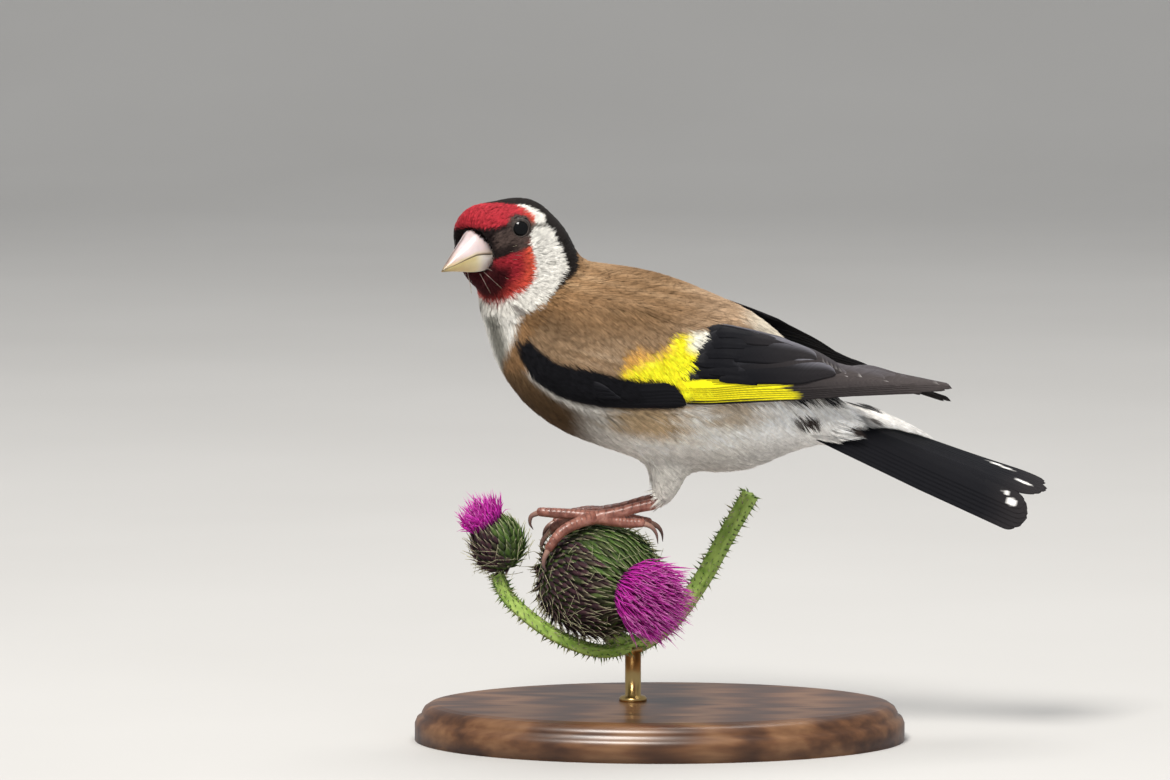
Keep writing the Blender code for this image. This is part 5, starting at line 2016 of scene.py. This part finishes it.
# ---------------------------------------------------------------- stand

# The moulded edge of the oval base: half length and height, from the underside up.
BASE_PROFILE = (
    (46.0, 0.0), (46.0, 3.2), (45.6, 4.2), (44.7, 4.7), (44.7, 5.2), (44.2, 6.1), (43.2, 6.75), (41.8, 7.0)
)
BASE_LENGTH, BASE_WIDTH = 46.0, 31.0
# The rod with its collar and its cup: radius and height.
ROD_PROFILE = ((2.6, 6.95), (2.6, 7.5), (2.3, 7.9), (1.5, 8.05), (1.5, 16.2), (1.9, 16.4), (1.9, 17.3))
ROD_PLACE = (-5.0, 2.2)


def wood_material():
    """Walnut with long grain and a thin varnish."""
    made, tree, shader = shader_of(
        "stand_walnut", 0.35, Specular_IOR_Level=0.5, Coat_Weight=0.25, Coat_Roughness=0.2
    )
    place = object_place(tree)
    rings = node(tree, "TexWave", Scale=16.0, Distortion=7.0, Detail=4.0)
    wire(tree, stretched(tree, place, (1.0, 9.0, 9.0)), rings.inputs["Vector"])
    fibres = noise(tree, place, 700.0, 5.0, (0.08, 1, 1))
    both = node(tree, "Mix", data_type="FLOAT")
    both.inputs["Factor"].default_value = 0.55
    wire(tree, rings.outputs["Fac"], both.inputs["A"])
    wire(tree, fibres, both.inputs["B"])
    paint(tree, shader, both.outputs["Result"], (
        (0.2, (0.055, 0.022, 0.010)), (0.55, (0.135, 0.058, 0.024)), (0.85, (0.23, 0.115, 0.052))
    ))
    bump(tree, shader, fibres, 0.00006, 0.5)
    return made


def brass_material():
    made, tree, shader = shader_of("stand_brass_brushed", 0.28, (0.72, 0.48, 0.18), Metallic=1.0)
    bump(tree, shader, noise(tree, object_place(tree), 900.0, 3.0, (1, 1, 0.1)), 0.00002, 0.4)
    tone = noise(tree, object_place(tree), 160.0, 3.0)
    paint(tree, shader, tone, ((0.3, (0.60, 0.39, 0.14)), (0.7, (0.78, 0.54, 0.22))))
    return made


def ring_at(bm, segments, radius, place, narrow=1.0):
    """A level ring of vertices, narrowed from front to back."""
    ring = bmesh.ops.create_circle(bm, segments=segments, radius=radius)["verts"]
    bmesh.ops.scale(bm, vec=(1, narrow, 1), verts=ring)
    bmesh.ops.translate(bm, vec=place, verts=ring)
    return ring


def stand():
    """The oval base, smooth only across its moulded edge, and the rod."""
    base = bmesh.new()
    joined_rings(base, [
        ring_at(base, 128, radius, (0, 0, z), (BASE_WIDTH - (BASE_LENGTH - radius)) / radius)
        for radius, z in BASE_PROFILE
    ])
    turned = piece("stand_base_turned", base, wood_material(), "stand_wood", ("stand_base",), smooth=False)
    for polygon in turned.data.polygons:
        polygon.use_smooth = len(polygon.vertices) == 4 and abs(polygon.normal.z) < 0.98
    rod = bmesh.new()
    joined_rings(rod, [ring_at(rod, 40, radius, (*ROD_PLACE, z)) for radius, z in ROD_PROFILE])
    piece("stand_rod_brass", rod, brass_material(), "stand_brass", ("stand_rod",))


stand()


# ---------------------------------------------------------------- fringe and whiskers


def bill_fringe():
    """Short bristly feathers that run forward over the base of the bill."""
    angles, lengths, starts, heights = [], [], [], []
    for start, tall in ((5.9, 1.3), (6.3, 0.9), (6.7, 0.55), (7.1, 0.3)):
        for a in np.arange(-150, 151, 4.0):
            side_share = float(soft(abs(a), 35, 95))
            angles.append(radians(a + rng.uniform(-2, 2)))
            starts.append(start - 0.9 * side_share + rng.uniform(-0.15, 0.15))
            lengths.append((1.5 - 0.5 * side_share) * rng.uniform(0.8, 1.15))
            heights.append(tall)
    angles, lengths, starts, heights = map(np.array, (angles, lengths, starts, heights))
    x = starts[:, None] + lengths[:, None] * np.linspace(0, 1, STATIONS)[None]
    depth, width, middle = (np.interp(x, BILL_ROWS[:, 0], BILL_ROWS[:, k]) for k in (1, 2, 3))
    out = np.stack([x * 0 + 0.25, np.sin(angles)[:, None] + x * 0, np.cos(angles)[:, None] + x * 0], -1)
    on_bill = np.stack([x, width * out[..., 1], middle + depth * out[..., 2]], -1)
    around = np.stack([x * 0, out[..., 2], -out[..., 1]], -1)
    lines, ups, sides = from_head(on_bill), unit(out) @ HEAD_TURN.T, around @ HEAD_TURN.T
    full = np.ones(len(angles))
    which, made, lit, _ = strands(
        lines, ups, sides, 0.42 * full, np.full(len(full), 12), 0.085 * full, heights
    )
    tone = FACE_BLACK * rng.uniform(0.6, 1.5, (len(which), 1))
    # Dark red at the chin, darkened further by painted shade.
    tone = mix(tone, DARK_RED_AND_SHADE * 0.6, soft(np.abs(angles[which]), 2.0, 2.3) * 0.7)
    write_plain_coat("bill_fringe", which, made, lit, tone, lines[:, 0], "feather_black")


bill_fringe()

# Root, direction and length of each whisker on the left side, in the head's frame.
WHISKERS = (
    ((8.4, 4.6, -0.9), (-0.66, 0.86, 0.04), 5.4), ((8.3, 4.7, -1.3), (-0.66, 0.80, -0.22), 5.8),
    ((8.3, 4.6, -1.8), (-0.62, 0.78, -0.36), 5.0), ((8.4, 4.5, -2.4), (-0.56, 0.72, -0.55), 4.4),
    ((9.9, 1.9, -4.4), (-0.10, 0.30, -1.0), 4.2), ((9.4, 2.6, -4.3), (-0.30, 0.55, -0.9), 4.4),
    ((8.9, 3.4, -3.8), (-0.42, 0.70, -0.7), 4.4), ((8.4, 4.7, -0.5), (-0.70, 0.84, 0.20), 3.4),
    ((8.2, 4.8, -1.1), (-0.66, 0.84, -0.10), 4.2), ((8.2, 4.7, -2.1), (-0.62, 0.74, -0.42), 3.4),
)


def whiskers():
    """Fine pale bristles at the corners of the mouth and under the bill, alike on both sides."""
    sheets = []
    for side in (1, -1):
        for start, ahead, length in WHISKERS:
            root = from_head(np.array(start) * (1, side, 1))
            ahead = unit((np.array(ahead) + rng.normal(0, 0.03, 3)) * (1, side, 1) @ HEAD_TURN.T)
            up = unit(np.array((0.3, side * 0.8, 0.5)) @ HEAD_TURN.T)
            up = unit(up - ahead * (up @ ahead))
            tone = rgb(0.74, 0.60, 0.52) * rng.uniform(0.7, 1.1)
            sheet = spine_sheet(root, ahead, up, length, 0.028, rng.uniform(-0.12, 0.02), tone)
            sheets.append((*sheet, body_map(sheet[0])))
    points, quads, colours, maps = gather(sheets)
    array_piece("whiskers", points, [quads], COAT, "feather_white", colours=colours, maps=maps)


whiskers()


# ---------------------------------------------------------------- floor, light and camera, in metres

TARGET = Vector((-0.010, 0.0, 0.06))
# Name, place, size, power and colour of each lamp.
LAMPS = (
    ("key", (-0.30, -0.85, 1.15), 0.50, 22.4, (1.0, 0.97, 0.92)),
    ("fill", (0.9, -0.9, 0.35), 0.9, 2.95, (0.92, 0.96, 1.0)),
    ("top", (0.1, 0.25, 1.1), 0.7, 7.85, (1.0, 0.98, 0.95)),
)
ROOM_COLOUR, ROOM_LIGHT = (0.86, 0.90, 0.95, 1.0), 0.36
# The camera looks from the bird's left, a little downwards, over this width at the bird.
VIEW_CENTRE = Vector((-0.014025, 0.0, 0.06595))
VIEW_WIDTH, VIEW_DISTANCE, VIEW_DROP = 0.21879, 1.5, 6.0
SENSOR = 36.0


def floor():
    """A pale floor that sweeps up behind the bird."""
    made, tree, shader = shader_of("studio_floor", 0.75, (0.53, 0.52, 0.505))
    tone = noise(tree, object_place(tree), 6.0, 3.0)
    paint(tree, shader, tone, ((0.3, (0.52, 0.51, 0.495)), (0.7, (0.55, 0.54, 0.525))))
    sweep = [(1.2 + 0.8 * sin(a), 0.8 - 0.8 * cos(a)) for a in np.linspace(0.15, pi / 2, 12)]
    profile = [(-3.0, 0.0), (1.2, 0.0), *sweep, (2.0, 4.0)]
    bm = bmesh.new()
    verts = [bm.verts.new((-4.0, y, z)) for y, z in profile]
    edges = [bm.edges.new(pair) for pair in zip(verts, verts[1:])]
    moved = bmesh.ops.extrude_edge_only(bm, edges=edges)["geom"]
    bmesh.ops.translate(bm, vec=(8.0, 0, 0), verts=[g for g in moved if isinstance(g, bmesh.types.BMVert)])
    bmesh.ops.recalc_face_normals(bm, faces=bm.faces)
    for face in bm.faces:
        face.smooth = True
    mesh = bpy.data.meshes.new("studio_floor")
    bm.to_mesh(mesh)
    bm.free()
    mesh.materials.append(made)
    obj = placed("studio_floor", mesh)
    # Eyes reflect the even room and the lamps, not the edge of the floor.
    obj.visible_glossy = False


def lamps():
    """Soft lamps, of which the fill leaves no highlight, in an even room."""
    for name, place, size, power, tint in LAMPS:
        light = bpy.data.lights.new(name, "AREA")
        light.shape = "DISK"
        light.size = size
        light.energy = power
        light.color = tint
        lamp = placed(name, light)
        lamp.location = place
        lamp.rotation_euler = (TARGET - lamp.location).to_track_quat("-Z", "Y").to_euler()
        lamp.visible_glossy = name != "fill"
    world = bpy.data.worlds.new("studio")
    bpy.context.scene.world = world
    world.use_nodes = True
    room = world.node_tree.nodes["Background"]
    room.inputs["Color"].default_value = ROOM_COLOUR
    room.inputs["Strength"].default_value = ROOM_LIGHT
    bpy.context.scene.view_settings.view_transform = "Standard"


def camera():
    lens = bpy.data.cameras.new("camera")
    lens.sensor_width = SENSOR
    lens.lens = SENSOR * VIEW_DISTANCE / VIEW_WIDTH
    lens.clip_start = 0.01
    view = Vector((0, cos(radians(VIEW_DROP)), -sin(radians(VIEW_DROP))))
    eye = placed("camera", lens)
    eye.location = VIEW_CENTRE - view * VIEW_DISTANCE
    eye.rotation_euler = view.to_track_quat("-Z", "Y").to_euler()
    bpy.context.scene.camera = eye


floor()
lamps()
camera()
